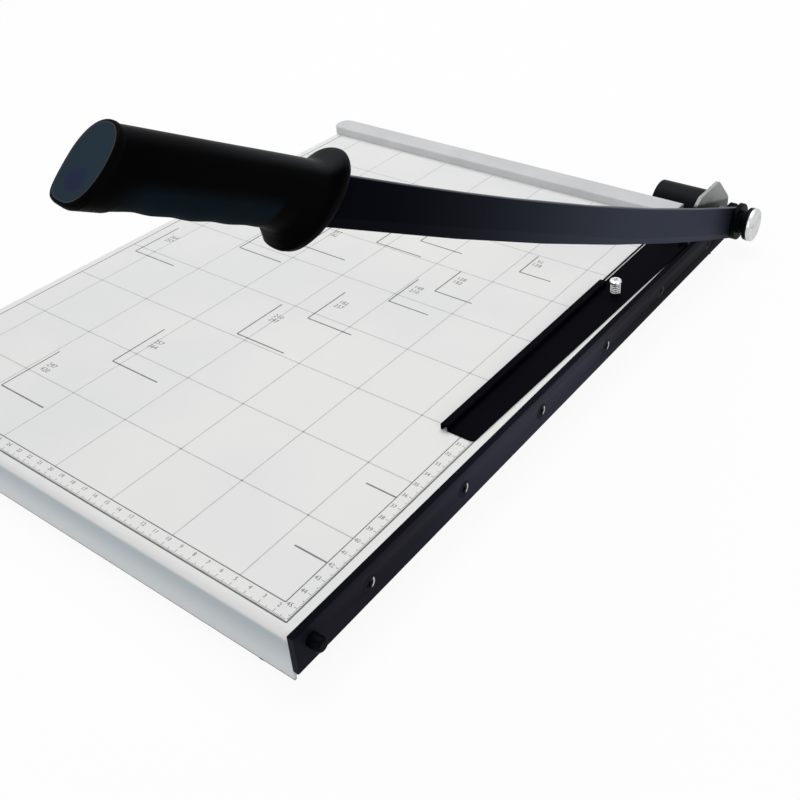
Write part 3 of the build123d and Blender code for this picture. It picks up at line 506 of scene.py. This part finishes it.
border = np.array([
    [LEFT, FRONT, EDGE, FRONT], [EDGE, FRONT, EDGE, BACK], [LEFT, FRONT, LEFT, BACK],
    [LEFT, FRONT_INNER, INNER, FRONT_INNER], [INNER, FRONT_INNER, INNER, BACK],
])
border_widths = [0.9, 0.9, 0.7, 0.6, 0.6]
border_bars = bars(border[:, :2], border[:, 2:], border_widths)
new_piece("border_print", *border_bars, rule_ink, "base", "bed_enamel")


def tick_lengths(millimetres):
    """Long ticks at the centimetres, middling ones at the halves, short ones between."""
    return np.where(millimetres % 10 == 0, 3.4, np.where(millimetres % 5 == 0, 2.5, 1.5))


front_mm = np.arange(12, 374)
side_mm = np.arange(5, 458)
tick_start = np.vstack([upright(-front_mm, FRONT), level(EDGE, -side_mm)])
tick_end = np.vstack([
    np.c_[-front_mm, FRONT + tick_lengths(front_mm)],
    np.c_[EDGE - tick_lengths(side_mm), -side_mm],
])
new_piece("tick_print", *bars(tick_start, tick_end, TICK_WIDTH), rule_ink, "base", "bed_enamel")

# %% [markdown]
# The corner marks show where the far corner of a common sheet lies, so each is an L of two short
# bars at the sheet's width and length, and the legs grow with the sheet's width up to a limit.
# Dashes at the right edge give the length of long sheets.

# %% Sheet corners
sheets = np.array([
    [257, 364], [210, 297], [182, 257], [148, 210], [128, 182], [91, 128],
    [364, 257], [297, 210], [257, 182], [210, 148], [182, 128], [297, 420],
], float)
LEG_LEAST, LEG_SHARE, LEG_MOST = 14.0, 0.14, 44.0
legs = np.minimum(LEG_MOST, LEG_LEAST + LEG_SHARE * sheets[:, :1] * [[1, 1]])
corner = -sheets
dash_start, dash_end = [[-41, -420], [-40, -364]], [[-19, -420], [-19, -364]]
mark_start = np.vstack([corner, corner, dash_start])
mark_end = np.vstack([corner + legs * [1, 0], corner + legs * [0, 1], dash_end])
new_piece("mark_print", *bars(mark_start, mark_end, MARK_WIDTH), mark_ink, "base", "bed_enamel")

# %% [markdown]
# Figures are set with Blender's own text object. It is turned into a mesh straight away, and all
# the figures of one ink are joined, so that the object keeps one piece per print.


# %% Figures
def figures(name, words, spots, size, material):
    """Text meshes set flat on the bed: each one's points plus its spot, halfway up the ink."""
    points, faces, count = [], [], 0
    for word, (x, y) in zip(words, spots):
        text = bpy.data.curves.new("figure", "FONT")
        text.body, text.size, text.resolution_u = str(word), size, 2
        text.align_x, text.align_y, text.extrude = "CENTER", "CENTER", (INK_HIGH - INK_LOW) / 2
        holder = bpy.data.objects.new("figure", text)
        mesh = bpy.data.meshes.new_from_object(holder)
        flat = np.zeros(len(mesh.vertices) * 3)
        mesh.vertices.foreach_get("co", flat)
        flat = flat.reshape(-1, 3)
        points.append(at(*(flat + [x, y, (INK_LOW + INK_HIGH) / 2]).T))
        faces += [[v + count for v in p.vertices] for p in mesh.polygons]
        count += len(flat)
        bpy.data.objects.remove(holder)
        bpy.data.meshes.remove(mesh)
    new_piece(name, np.vstack(points), faces, material, "base", "bed_enamel")


SCALE_SIZE, SHEET_SIZE = 3.6, 5.4
LEG_ASIDE, LEG_INWARD = 0.22, 0.64
FRONT_FIGURES_Y, SIDE_FIGURES_X = -452.9, -16.0
front_cm, side_cm = np.arange(2, 38), np.arange(1, 46)
front_spots = [(-10.0 * cm, FRONT_FIGURES_Y) for cm in front_cm]
side_spots = [(SIDE_FIGURES_X, -10.0 * cm) for cm in side_cm]
figures(
    "scale_figures",
    [*front_cm, *side_cm],
    [*front_spots, *side_spots],
    SCALE_SIZE,
    rule_ink,
)
figures(
    "sheet_figures",
    [f"{int(w)}\n{int(h)}" for w, h in sheets],
    [(-w + LEG_ASIDE * leg[0], -h + LEG_INWARD * leg[1]) for (w, h), leg in zip(sheets, legs)],
    SHEET_SIZE,
    mark_ink,
)

# %% [markdown]
# The handle is a moulded black grip with a guard at its front. It could be pulled out of a box
# with a Subdivision Surface, but sections carried along a line keep every measured size. The
# sections are ovals, slightly squarer than an ellipse, on planes that lean with the cut-off end.
# Between the measured places their sizes follow a smooth curve that never overshoots them. The
# grip goes on from the arm, which is an arc. With its chord c from the pivot to the grip's root and
# its sag s, the arc's radius is c * c / 4 plus s * s, all divided by 2 * s.

# %% Handle line
ARM_CHORD, ARM_SAG, ARM_ANGLE = 498.0, 6.35, np.radians(25.16)
arm_radius = (ARM_CHORD**2 / 4 + ARM_SAG**2) / (2 * ARM_SAG)
grip_tilt = ARM_ANGLE + np.arcsin(ARM_CHORD / 2 / arm_radius)
arm_along = np.array([0, -np.cos(ARM_ANGLE), np.sin(ARM_ANGLE)])
grip_across = np.array([1.0, 0, 0])
grip_along = np.array([0, -np.cos(grip_tilt), np.sin(grip_tilt)])
grip_up = np.array([0, np.sin(grip_tilt), np.cos(grip_tilt)])
GRIP_X = 2.05
grip_root = np.array([GRIP_X, PIVOT_Y, PIVOT_Z]) + arm_along * ARM_CHORD
SLANT = np.radians(23.5)
section_up = grip_up * np.cos(SLANT) - grip_along * np.sin(SLANT)
print("the grip leans", round(float(np.degrees(grip_tilt)), 2), "degrees")

# %% Grip sections: place along the grip and size there, in millimetres
GRIP_FRONT, GUARD_FRONT, GUARD_BACK, GRIP_BACK = 15.6, 17.2, 36, 120.4
half_widths = np.array([
    [GRIP_FRONT, 11.0], [GUARD_FRONT, 12.4], [20.8, 12.7], [24.8, 11.9], [29.0, 11.4],
    [35.0, 10.8], [60.0, 9.6], [GRIP_BACK, 9.6],
])
rises = np.array([
    [GRIP_FRONT, -0.4], [24.8, -0.4], [29.0, 0.2], [35.0, 0.8], [60.0, 1.2], [GRIP_BACK, 1.2],
])
heights_above = np.array([
    [GRIP_FRONT, 15.6], [17.0, 21.2], [19.6, 23.0], [21.6, 22.6], [24.0, 19.4],
    [26.6, 16.6], [30.0, 15.6], [35.0, 15.3], [60.0, 15.0], [GRIP_BACK, 15.3],
])
heights_below = np.array([
    [GRIP_FRONT, 15.6], [17.0, 20.4], [19.4, 22.9], [22.4, 22.9], [25.0, 20.9],
    [29.5, 17.7], [33.0, 15.9], [36.5, 15.3], [60.0, 15.0], [GRIP_BACK, 15.3],
])


def eased(x, known_x, known_y):
    """Curve through known points with no overshoot: between each two of them a cubic, whose
    slope at a point is the harmonic mean of the slopes on its two sides, or 0 at a turn."""
    step, rise = np.diff(known_x), np.diff(known_y)
    slope = rise / step
    before, after = slope[:-1], slope[1:]
    inner = np.where(after * before > 0, 2 * after * before / (after + before + 1e-12), 0)
    tangent = np.r_[slope[0], inner, slope[-1]]
    i = np.clip(np.searchsorted(known_x, x) - 1, 0, len(step) - 1)
    t = (x - known_x[i]) / step[i]
    return (
        known_y[i] * (1 + 2 * t) * (1 - t) ** 2 + tangent[i] * step[i] * t * (1 - t) ** 2
        + known_y[i + 1] * t**2 * (3 - 2 * t) + tangent[i + 1] * step[i] * t**2 * (t - 1)
    )


finger_line = np.array([
    [GUARD_BACK, 0], [42, 0], [47, 0.1], [56, -0.4], [64, 0.05], [73, -0.4], [83, 0.42], [90, 0.3],
    [99.5, 1.2], [105.5, 0.85], [108.8, 0.55], [110, 0], [121, 0],
])


def oval(around):
    """Shares across and up at even angles: the angle's cosine and sine, each raised to 2 / power
    with its sign kept. The power is 2.25, and up to 3.75 at the lower corner of the far side."""
    angle = np.arange(around) * 2 * np.pi / around
    cosine, sine = np.cos(angle), np.sin(angle)
    power = 2.25 + 1.5 * np.clip(-sine, 0, 1) * np.clip(-cosine, 0, 1) * 2
    across = np.sign(cosine) * np.abs(cosine) ** (2 / power)
    upward = np.sign(sine) * np.abs(sine) ** (2 / power)
    return across, upward, sine


def grip_surface(stations, around, shrink=0.0):
    """Rings of the grip. A ring's centre is the root, plus the station along the grip, plus its
    rise. Each point adds the half width times the oval's share across, and the height above or
    below times its share up the leaning plane. Below, the finger line lifts it by its own value
    times the sine squared."""
    across, upward, sine = oval(around)
    tables = (half_widths, rises, heights_above, heights_below)
    half_width, rise, above, below = (
        eased(stations, table[:, 0], table[:, 1])[:, None] for table in tables
    )
    fingers = np.clip(stations, *finger_line[[0, -1], 0])
    lift = eased(fingers, finger_line[:, 0], finger_line[:, 1])[:, None]
    height = (np.where(sine > 0, above, below) - shrink) * upward + lift * np.clip(-sine, 0, 1) ** 2
    width = (half_width - shrink) * across
    centre = grip_root + stations[:, None, None] * grip_along + rise[..., None] * grip_up
    points = centre + width[..., None] * grip_across + height[..., None] * section_up
    return at(points[..., 0], points[..., 1], points[..., 2])


print("grip", round(GRIP_BACK - GRIP_FRONT, 1), "mm long")

# %% [markdown]
# The grip is black, with a painted highlight a little greyer along its crown, and its palm side
# has a deeper grain with a blue-grey tone, partly its own and partly a painted reflection of the
# bright bed below. The grip's own map tells the three apart: its first number runs along the grip
# and its second one is the height in the oval, from -1 below to 1 above.

# %% Grip finish
GRIP_BLACK, GRIP_HIGHLIGHT = (0.0002, 0.0002, 0.0004, 1), (0.018, 0.019, 0.022, 1)
GRIP_PALM_AND_REFLECTION = (0.0040, 0.0080, 0.0115, 1)
grip_finish, shader, s = finish("grip_finish", Specular_IOR_Level=0.012)
where = s.node("TexCoord", out="Object")
u, height, _ = s.axes(s.node("TexCoord", out="UV"))
# The palm's blue-grey is partly its own tone and partly a painted reflection of the bright bed
# below.
palm = (1 - height.between(-0.42, 0.02)) * u.between(0.250, 0.285) * (1 - u.between(0.80, 0.97))
# Painted highlight: the grip's crown is painted greyer where light catches it.
crown_highlight = height.between(0.62, 0.94) * (0.25 + 0.75 * (1 - u.between(0.25, 0.80)))
grains = s.noise(where, 1500.0, 1.0)
handled = s.noise(where, 30.0, 3.0)
feed(
    shader,
    Base_Color=palm.colour(crown_highlight.colour(GRIP_BLACK, GRIP_HIGHLIGHT), GRIP_PALM_AND_REFLECTION),
    Roughness=0.34 + palm * 0.24 + handled * 0.08,
    Normal=s.bump(grains * (0.35 + palm * 1.2), 0.00007, 0.7),
)
print("made", grip_finish.name)

# %% Grip body
AROUND = 96
edge = np.array([GRIP_FRONT, 15.75, 16.1, 16.6])
guard = np.linspace(GUARD_FRONT, GUARD_BACK, 44)
stations = np.unique(np.r_[edge, guard, np.linspace(GUARD_BACK, GRIP_BACK, 110)])
front_ring = grip_surface(np.full(1, GRIP_FRONT), AROUND, shrink=0.8)
rings = np.concatenate([front_ring, grip_surface(stations, AROUND)])
uv_u = np.r_[0, (stations - stations[0]) / np.ptp(stations)]
uv = np.stack(np.broadcast_arrays(uv_u[:, None], oval(AROUND)[2][None]), -1).reshape(-1, 2)
grip_faces = tube_faces(len(rings), AROUND)
grip = new_piece("grip", rings, grip_faces, grip_finish, "arm", "black_plastic", uv)
smoothed(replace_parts(grip, "handle_grip"), 40)

# %% [markdown]
# The end cap closes the slanted end. It is smoother than the grip and a shade lighter, its rim is
# rounded and black, and its face is very slightly hollow, with the round trace of the moulding
# gate. A thin pale line, where the mould parted, runs between the rim and the face. Rim, line and
# face are rings of the same surface, and take three materials.

# %% Cap finish
CAP_FACE, CAP_GATE = (0.018, 0.032, 0.046, 1), (0.017, 0.024, 0.053, 1)
GATE_U, GATE_V, CAP_NARROW = 0.5, 0.30, 0.63
cap_finish, shader, s = finish("cap_finish", Specular_IOR_Level=0.02)
where = s.node("TexCoord", out="Object")
u, v, _ = s.axes(s.node("TexCoord", out="UV"))
near_gate = 1 - (((u - GATE_U) * CAP_NARROW) ** 2 + (v - GATE_V) ** 2) ** 0.5
feed(
    shader,
    Base_Color=near_gate.between(0.82, 0.91).colour(CAP_FACE, CAP_GATE),
    Roughness=0.42 + s.noise(where, 40.0, 3.0) * 0.12,
    Normal=s.bump(s.noise(where, 1200.0, 1.0), 0.00005, 0.5),
)
print("made", cap_finish.name)

# %% Cap body
# Each ring is lifted along the cap's normal and drawn in from the end's outline, in millimetres.
# The inner rings are drawn in by the same share both ways, so they close evenly on the middle.
cap_rings = [
    (0.0, 0.0), (1.9, 0.0), (2.4, 0.15), (2.75, 0.45), (2.95, 0.8),
    (3.0, 1.15), (2.99, 1.6), (2.97, 2.4), (2.8, 5.0), (2.7, 8.9),
]
RIM_RINGS, EVEN_INSET = 5, 4
cap_normal = grip_along * np.cos(SLANT) + grip_up * np.sin(SLANT)
end_width, end_height, end_rise = half_widths[-1, 1], heights_above[-1, 1], rises[-1, 1]
across, upward, _ = oval(AROUND)
centre = grip_root + grip_along * GRIP_BACK + grip_up * end_rise
cap_points, cap_uv = [], []
for lift, inset in cap_rings:
    share_x, share_y = (end_width - inset) / end_width, (end_height - inset) / end_height
    share_y = share_x if inset > EVEN_INSET else share_y
    points = (
        centre + lift * cap_normal + (end_width * share_x * across)[:, None] * grip_across
        + (end_height * share_y * upward)[:, None] * section_up
    )
    cap_points.append(at(points[:, 0], points[:, 1], points[:, 2]))
    cap_uv.append(np.stack([0.5 + 0.5 * share_x * across, 0.5 + 0.5 * share_y * upward], 1))
cap_faces = tube_faces(len(cap_rings), AROUND)
cap_points, cap_uv = np.stack(cap_points), np.vstack(cap_uv)
cap = new_piece("cap", cap_points, cap_faces, cap_finish, "arm", "cap_plastic", cap_uv)
smoothed(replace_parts(cap, "handle_end_cap"), 50)
cap.data.materials.append(rim_plastic)
cap.data.materials.append(moulded("cap_line", grey(0.044, 0.012), grey(0.052, 0.012), 0.45, 0.02))
ring_of = np.arange(len(cap.data.polygons)) // AROUND
part_of = np.select([ring_of < RIM_RINGS, ring_of == RIM_RINGS], [1, 2], 0)
cap.data.polygons.foreach_set("material_index", part_of.astype(np.int32))

# %% [markdown]
# Pressed and ground parts have edges that are broken by a few tenths of a millimetre, and these
# edges catch the light. A solid comes as loose triangles, among which a Bevel modifier finds no
# edges, so a copy is merged, its flat faces are joined, and the bevelled copy replaces the solid.


# %% Broken edges
EDGE_ANGLE = 30.0


def softened(node, name, material, width, body):
    """Merged copy of a solid with its sharp edges bevelled by a width in millimetres."""
    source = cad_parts[node]
    mesh = source.data.copy()
    mesh.name = name
    shape = bmesh.new()
    shape.from_mesh(mesh)
    bmesh.ops.remove_doubles(shape, verts=shape.verts, dist=1e-6)
    bmesh.ops.dissolve_limit(
        shape,
        angle_limit=np.radians(1.0),
        verts=shape.verts,
        edges=shape.edges,
        use_dissolve_boundaries=False,
    )
    shape.to_mesh(mesh)
    shape.free()
    mesh.materials.clear()
    mesh.materials.append(material)
    piece = bpy.data.objects.new(name, mesh)
    bpy.context.scene.collection.objects.link(piece)
    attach(piece, body)
    smoothed(piece, EDGE_ANGLE)
    bevel = piece.modifiers.new("edges", "BEVEL")
    bevel.width, bevel.segments, bevel.limit_method = width * MM, 2, "ANGLE"
    bevel.angle_limit, bevel.harden_normals = np.radians(EDGE_ANGLE), True
    bevel.use_clamp_overlap = True
    print(name, len(mesh.polygons), "faces before its bevel")
    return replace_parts(piece, node)


# %% [markdown]
# The arm is enamelled like the blade, but it is darkest near the hand and greyer towards the
# pivot, partly the enamel's tone and partly a painted reflection, and black again at the pivot
# itself, where painted shade stands for the shadow of the bolt head. A painted highlight runs
# bright along the top edge, which is an arc, so it follows the distance from the arc's centre.

# %% Arm finish
ARM_BLACK, ARM_GREY = (0.0004, 0.0006, 0.003, 1), (0.040, 0.047, 0.070, 1)
ARM_HIGHLIGHT = (0.11, 0.12, 0.14, 1)
HIGHLIGHT_IN, HIGHLIGHT_OUT = 10.95, 10.3
arm_finish, shader, s = finish("arm_finish", Specular_IOR_Level=0.008)
where = s.node("TexCoord", out="Object")
_, y, z = s.axes(where)
pivot_point = at(0, PIVOT_Y, PIVOT_Z)
reach = (float(pivot_point[1]) - y) / float(ARM_CHORD * MM)
clouds = s.noise(where, 16.0, 5.0)
# Painted light: the grey towards the pivot is partly a painted reflection, and the black at the
# pivot itself is painted shade.
tone = (1 - (reach + (clouds - 0.5) * 0.08).between(0.34, 0.95)) ** 1.5 * reach.between(-0.01, 0.13)
middle = np.array([PIVOT_Y, PIVOT_Z]) + arm_along[1:] * ARM_CHORD / 2
lift = np.array([np.sin(ARM_ANGLE), np.cos(ARM_ANGLE)])
ring_centre = middle + lift * (arm_radius - ARM_SAG)
cy, cz = at(0, ring_centre[0], ring_centre[1])[1:]
radius = ((y - float(cy)) ** 2 + (z - float(cz)) ** 2) ** 0.5
# Painted highlight: a bright band along the arm's top edge.
edge_highlight = 1 - radius.between(float((arm_radius - HIGHLIGHT_IN) * MM), float((arm_radius - HIGHLIGHT_OUT) * MM))
feed(
    shader,
    Base_Color=edge_highlight.colour(tone.colour(ARM_BLACK, ARM_GREY), ARM_HIGHLIGHT),
    Roughness=0.40 + clouds * 0.12,
    Normal=s.bump(s.noise(where, 700.0, 2.0), 0.00004, 0.5),
)
print("arm's arc", round(float(arm_radius)), "mm in radius")

# %% [markdown]
# Below a slanting line the cheek is painted dark, a painted shadow of the arm and its boss. The
# line is where the height plus a share of the distance behind the ruler reaches a fixed value, and
# a little noise keeps it from being ruled.

# %% Cheek finish
SHADOW_SLOPE, SHADOW_FROM, SHADOW_TO = 0.33, 53.5, 56.5
CHEEK_PAINTED_SHADOW = (0.012, 0.014, 0.018, 1)
cheek_finish, shader, s = finish("cheek_finish", Specular_IOR_Level=0.3)
where = s.node("TexCoord", out="Object")
_, y, z = s.axes(where)
clouds = s.noise(where, 60.0, 4.0)
# Painted shadow: below this slanting line the cheek is painted dark for the shadow of the arm and
# its boss.
shadow_line = z + (y - ruler_y) * SHADOW_SLOPE + (clouds - 0.5) * (3 * MM)
painted_shadow = 1 - shadow_line.between(SHADOW_FROM * MM, SHADOW_TO * MM)
enamelled = clouds.between(0.3, 0.72).colour(BRACKET_LOW, BRACKET_HIGH)
feed(
    shader,
    Base_Color=painted_shadow.colour(enamelled, CHEEK_PAINTED_SHADOW),
    Roughness=0.39 + clouds * 0.14,
    Normal=s.bump(s.noise(where, 700.0, 2.0), 0.00005, 0.6),
)
print("made", cheek_finish.name)

# %% Pieces with broken edges
softened("blade_arm", "arm", arm_finish, 0.3, "arm")
softened("fixed_blade", "bed_blade", blade_enamel, 0.4, "base")
softened("pivot_bracket", "cheek", cheek_finish, 0.45, "base")
softened("pivot_washer", "bolt_washer", black_oxide, 0.35, "base")
softened("arm_boss", "boss", black_oxide, 0.5, "arm")

# %% [markdown]
# The clamp is cut out beside its screw, and the edge of the cut is turned up into a narrow lip that
# stiffens it. The lip is an L of flat bar, worked out from its corners and its two heights, and
# rides on the clamp.

# %% Clamp lip
LIP_LOW, LIP_HIGH = 0.15, 1.2
lip_outline = np.array([
    [-33.0, -113.5], [-33.0, -26.5], [-30.0, -26.5],
    [-30.0, -28.5], [-32.3, -28.5], [-32.3, -113.5],
])
lip_heights = BED_Z + np.array([LIP_LOW, LIP_HIGH])
lip_points = at(lip_outline[None, :, 0], lip_outline[None, :, 1], lip_heights[:, None])
lip_faces = tube_faces(len(lip_heights), len(lip_outline))
new_piece("clamp_lip", lip_points, lip_faces, clamp_enamel, "clamp", "clamp_steel")

# %% [markdown]
# The clamp's spring sits between the clamp and the head of its screw, and shortens when the clamp
# is lifted. Wire carried round a helix gives the coil.

# %% Clamp spring
spring_low, spring_high = (np.array(corner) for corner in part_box("clamp_spring"))
spring_mid = (spring_low + spring_high) / 2
WIRE_R, COIL_R, COILS = 0.35 * MM, 3.3 * MM, 5
HINGE_Y, LIFT_ANGLE, SPRING_PLAY = -14.0, np.radians(2.5), 0.1 * MM


def coil(around=14, per_coil=36):
    """Rings of wire round a helix: the centre on the helix, plus the wire's radius times the
    cosine of an angle along the radial line, and times its sine along the line square to both."""
    share = np.linspace(0, 1, COILS * per_coil + 1)[:, None]
    turn = 2 * np.pi * COILS * share
    radial = np.hstack([np.cos(turn), np.sin(turn), 0 * turn])
    travel = spring_high[2] - spring_low[2] - 2 * WIRE_R
    climb = travel / (2 * np.pi * COILS)
    along = np.hstack([-COIL_R * np.sin(turn), COIL_R * np.cos(turn), 0 * turn + climb])
    square = np.cross(along / np.linalg.norm(along, axis=1, keepdims=True), radial)
    climbed = spring_low[2] + WIRE_R + travel * share
    centre = spring_mid * [1, 1, 0] + COIL_R * radial + [0, 0, 1] * climbed
    angle = (np.arange(around) * 2 * np.pi / around)[:, None]
    ring = np.cos(angle) * radial[:, None] + np.sin(angle) * square[:, None]
    return centre[:, None] + WIRE_R * ring


coil_rings = coil()
coil_faces = tube_faces(*coil_rings.shape[:2])
clamp_coil = new_piece("clamp_coil", coil_rings, coil_faces, polished, "base", "spring_steel")
smoothed(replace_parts(clamp_coil, "clamp_spring"), 50)
hinge_y = float(at(0, HINGE_Y, 0)[1])
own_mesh(clamp_coil)

# %% [markdown]
# The pivot bolt's head is turned: a bright bevelled rim, a shallow dish and three short notches
# for the tightening key. A Screw modifier could carry its profile round, but then the notches would
# need a cut. Here the profile is carried round the axis as one array, and the notches are sunk into
# it. The lathe's fine rings follow the distance from the axis, and painted shade darkens the edge
# of the head that lies against the washer, where the two meet.

# %% Bolt finish
HEAD_R, HEAD_X0, HEAD_X1 = 13.6, 15.0, 19.7
TURNED_LOW, TURNED_HIGH = (0.66, 0.67, 0.66, 1), (0.50, 0.52, 0.52, 1)
HEAD_SHADE_FROM, HEAD_SHADE_TO = 16.6, 17.1
turned, shader, s = finish("turned_steel", Metallic=1.0)
where = s.node("TexCoord", out="Object")
x, y, z = s.axes(where)
from_axis = ((y - float(pivot_point[1])) ** 2 + (z - float(pivot_point[2])) ** 2) ** 0.5
rings_cut = s.noise(s.node("CombineXYZ", None, {0: from_axis, 1: x}), 2600.0, 2.0)
stain = s.noise(where, 170.0, 4.0).between(0.35, 0.75)
# Painted shade: the side of the head next to the washer is painted near black.
washer_shade = 1 - x.between(float(at(HEAD_SHADE_FROM, 0, 0)[0]), float(at(HEAD_SHADE_TO, 0, 0)[0]))
feed(
    shader,
    Base_Color=washer_shade.colour(stain.colour(TURNED_LOW, TURNED_HIGH), grey(0.006)),
    Roughness=0.24 + rings_cut * 0.16,
    Normal=s.bump(rings_cut, 0.00005, 0.5),
)
print("made", turned.name)

# %% Bolt head
profile = np.array([
    [HEAD_X0, HEAD_R - 0.4], [15.3, HEAD_R], [18.5, HEAD_R],
    [19.1, HEAD_R - 0.2], [19.55, HEAD_R - 0.8], [HEAD_X1, HEAD_R - 1.5], [HEAD_X1, HEAD_R - 2.0],
    [19.5, HEAD_R - 2.4], [19.3, HEAD_R - 2.8], [19.2, 9.4], [19.15, 6.0], [19.15, 3.4],
    [19.3, 3.1], [19.35, 2.6], [19.3, 2.0], [19.3, 0.6],
])
# A notch is 1 within 0.6 slopes of its place, and falls to 0 over one slope, which is in radians.
NOTCH_PLACES, NOTCH_SLOPE, NOTCH_DEPTH = np.radians([170, 10, -80]), 0.055, 0.9
NOTCH_INNER, NOTCH_OUTER, FACE_X = 5.5, HEAD_R - 2.3, 19
steps = 144
turn = np.arange(steps) * 2 * np.pi / steps
gap = np.abs((turn - NOTCH_PLACES[:, None] + np.pi) % (2 * np.pi) - np.pi)
notch = np.clip(1.6 - gap / NOTCH_SLOPE, 0, 1).max(0)
head_x, head_r = profile[:, :1], profile[:, 1:]
cut = (head_r > NOTCH_INNER) & (head_r < NOTCH_OUTER) & (head_x > FACE_X)
head_x = head_x - np.where(cut, NOTCH_DEPTH, 0.0) * notch
head_points = at(head_x, PIVOT_Y + head_r * np.cos(turn), PIVOT_Z + head_r * np.sin(turn))
print("bolt head", HEAD_R * 2, "mm wide with", len(NOTCH_PLACES), "notches")

# %% Bolt shank, joined to the head
SHANK_R, SHANK_END_R, SHANK_CHAMFER, HEAD_RELIEF = 5.0, 4.4, 0.6, 0.2
shank_start = (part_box("pivot_bolt")[0].x - cut_x) / MM
shank_x = np.array([[shank_start], [shank_start + SHANK_CHAMFER], [HEAD_X0 + HEAD_RELIEF]])
shank_r = np.array([[SHANK_END_R], [SHANK_R], [SHANK_R]])
shank = at(shank_x, PIVOT_Y + shank_r * np.cos(turn), PIVOT_Z + shank_r * np.sin(turn))
rings = np.concatenate([shank, head_points])
bolt = new_piece("bolt", rings, tube_faces(len(rings), steps), turned, "base", "bright_steel")
smoothed(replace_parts(bolt, "pivot_bolt"), 28)

# %% [markdown]
# A studio for product pictures: a wide pale floor, a large soft box above and behind, a weaker one
# in front that lights the skirts, one at the blade's side, and an even sky. The floor shows itself
# as near white to the camera and in reflections, and still takes the object's soft shadow.

# %% Floor
WHITE, PAPER, SEEN_SHARE = (1, 1, 1, 1), (0.9, 0.9, 0.9, 1), 0.93


def seen_directly(tree):
    """1 for rays from the camera, off a gloss or through glass, 0 for rays that light things."""
    path = tree.nodes.new("ShaderNodeLightPath")
    seen = Shade(tree, path.outputs["Is Camera Ray"]) + Shade(tree, path.outputs["Is Glossy Ray"])
    seen = seen + Shade(tree, path.outputs["Is Transmission Ray"])
    return seen.math("MINIMUM", seen, 1.0)


floor_finish = bpy.data.materials.new("floor_paper")
floor_finish.use_nodes = True
tree = floor_finish.node_tree
s = Shade(tree)
paper = s.node("BsdfDiffuse", None, {"Color": PAPER})
glow = s.node("Emission", None, {"Color": WHITE, "Strength": 1.0})
mixed = s.node("MixShader", None, {0: seen_directly(tree) * SEEN_SHARE, 1: paper, 2: glow})
tree.links.new(mixed.socket, tree.nodes["Material Output"].inputs["Surface"])
tree.nodes.remove(tree.nodes["Principled BSDF"])
FLOOR_REACH, FLOOR_Z = 12.0, -0.0002
floor_corners = np.array([[-1, -1], [1, -1], [1, 1], [-1, 1]]) * FLOOR_REACH
floor_mesh = bpy.data.meshes.new("floor")
floor_mesh.from_pydata([(x, y, FLOOR_Z) for x, y in floor_corners.tolist()], [], [(0, 1, 2, 3)])
floor_mesh.materials.append(floor_finish)
floor = bpy.data.objects.new("floor", floor_mesh)
bpy.context.scene.collection.objects.link(floor)
print("floor", 2 * FLOOR_REACH, "m wide")

# %% Sky and soft boxes
SKY_LIGHT = 0.24
scene = bpy.context.scene
scene.view_settings.view_transform = "Standard"
scene.world = bpy.data.worlds.new("sky")
scene.world.use_nodes = True
tree = scene.world.node_tree
background = tree.nodes["Background"]
strength = SKY_LIGHT + seen_directly(tree) * (1 - SKY_LIGHT)
background.inputs["Color"].default_value = WHITE
tree.links.new(strength.socket, background.inputs["Strength"])


def soft_box(name, spot, aim, size, power):
    """Square area lamp that looks from its spot to its aim."""
    data = bpy.data.lights.new(name, "AREA")
    data.size, data.energy = size, power
    lamp = bpy.data.objects.new(name, data)
    scene.collection.objects.link(lamp)
    lamp.location = spot
    lamp.rotation_euler = (Vector(aim) - Vector(spot)).to_track_quat("-Z", "Y").to_euler()
    print(name, power, "W")


soft_box("top_box", (-0.4, 0.7, 2.1), (0, 0, 0), 1.9, 38.0)
soft_box("front_box", (-0.3, -2.6, 1.0), (0, 0, 0), 1.8, 22.0)
soft_box("side_box", (2.2, -0.6, 1.0), (0, 0, 0.1), 1.4, 10.0)
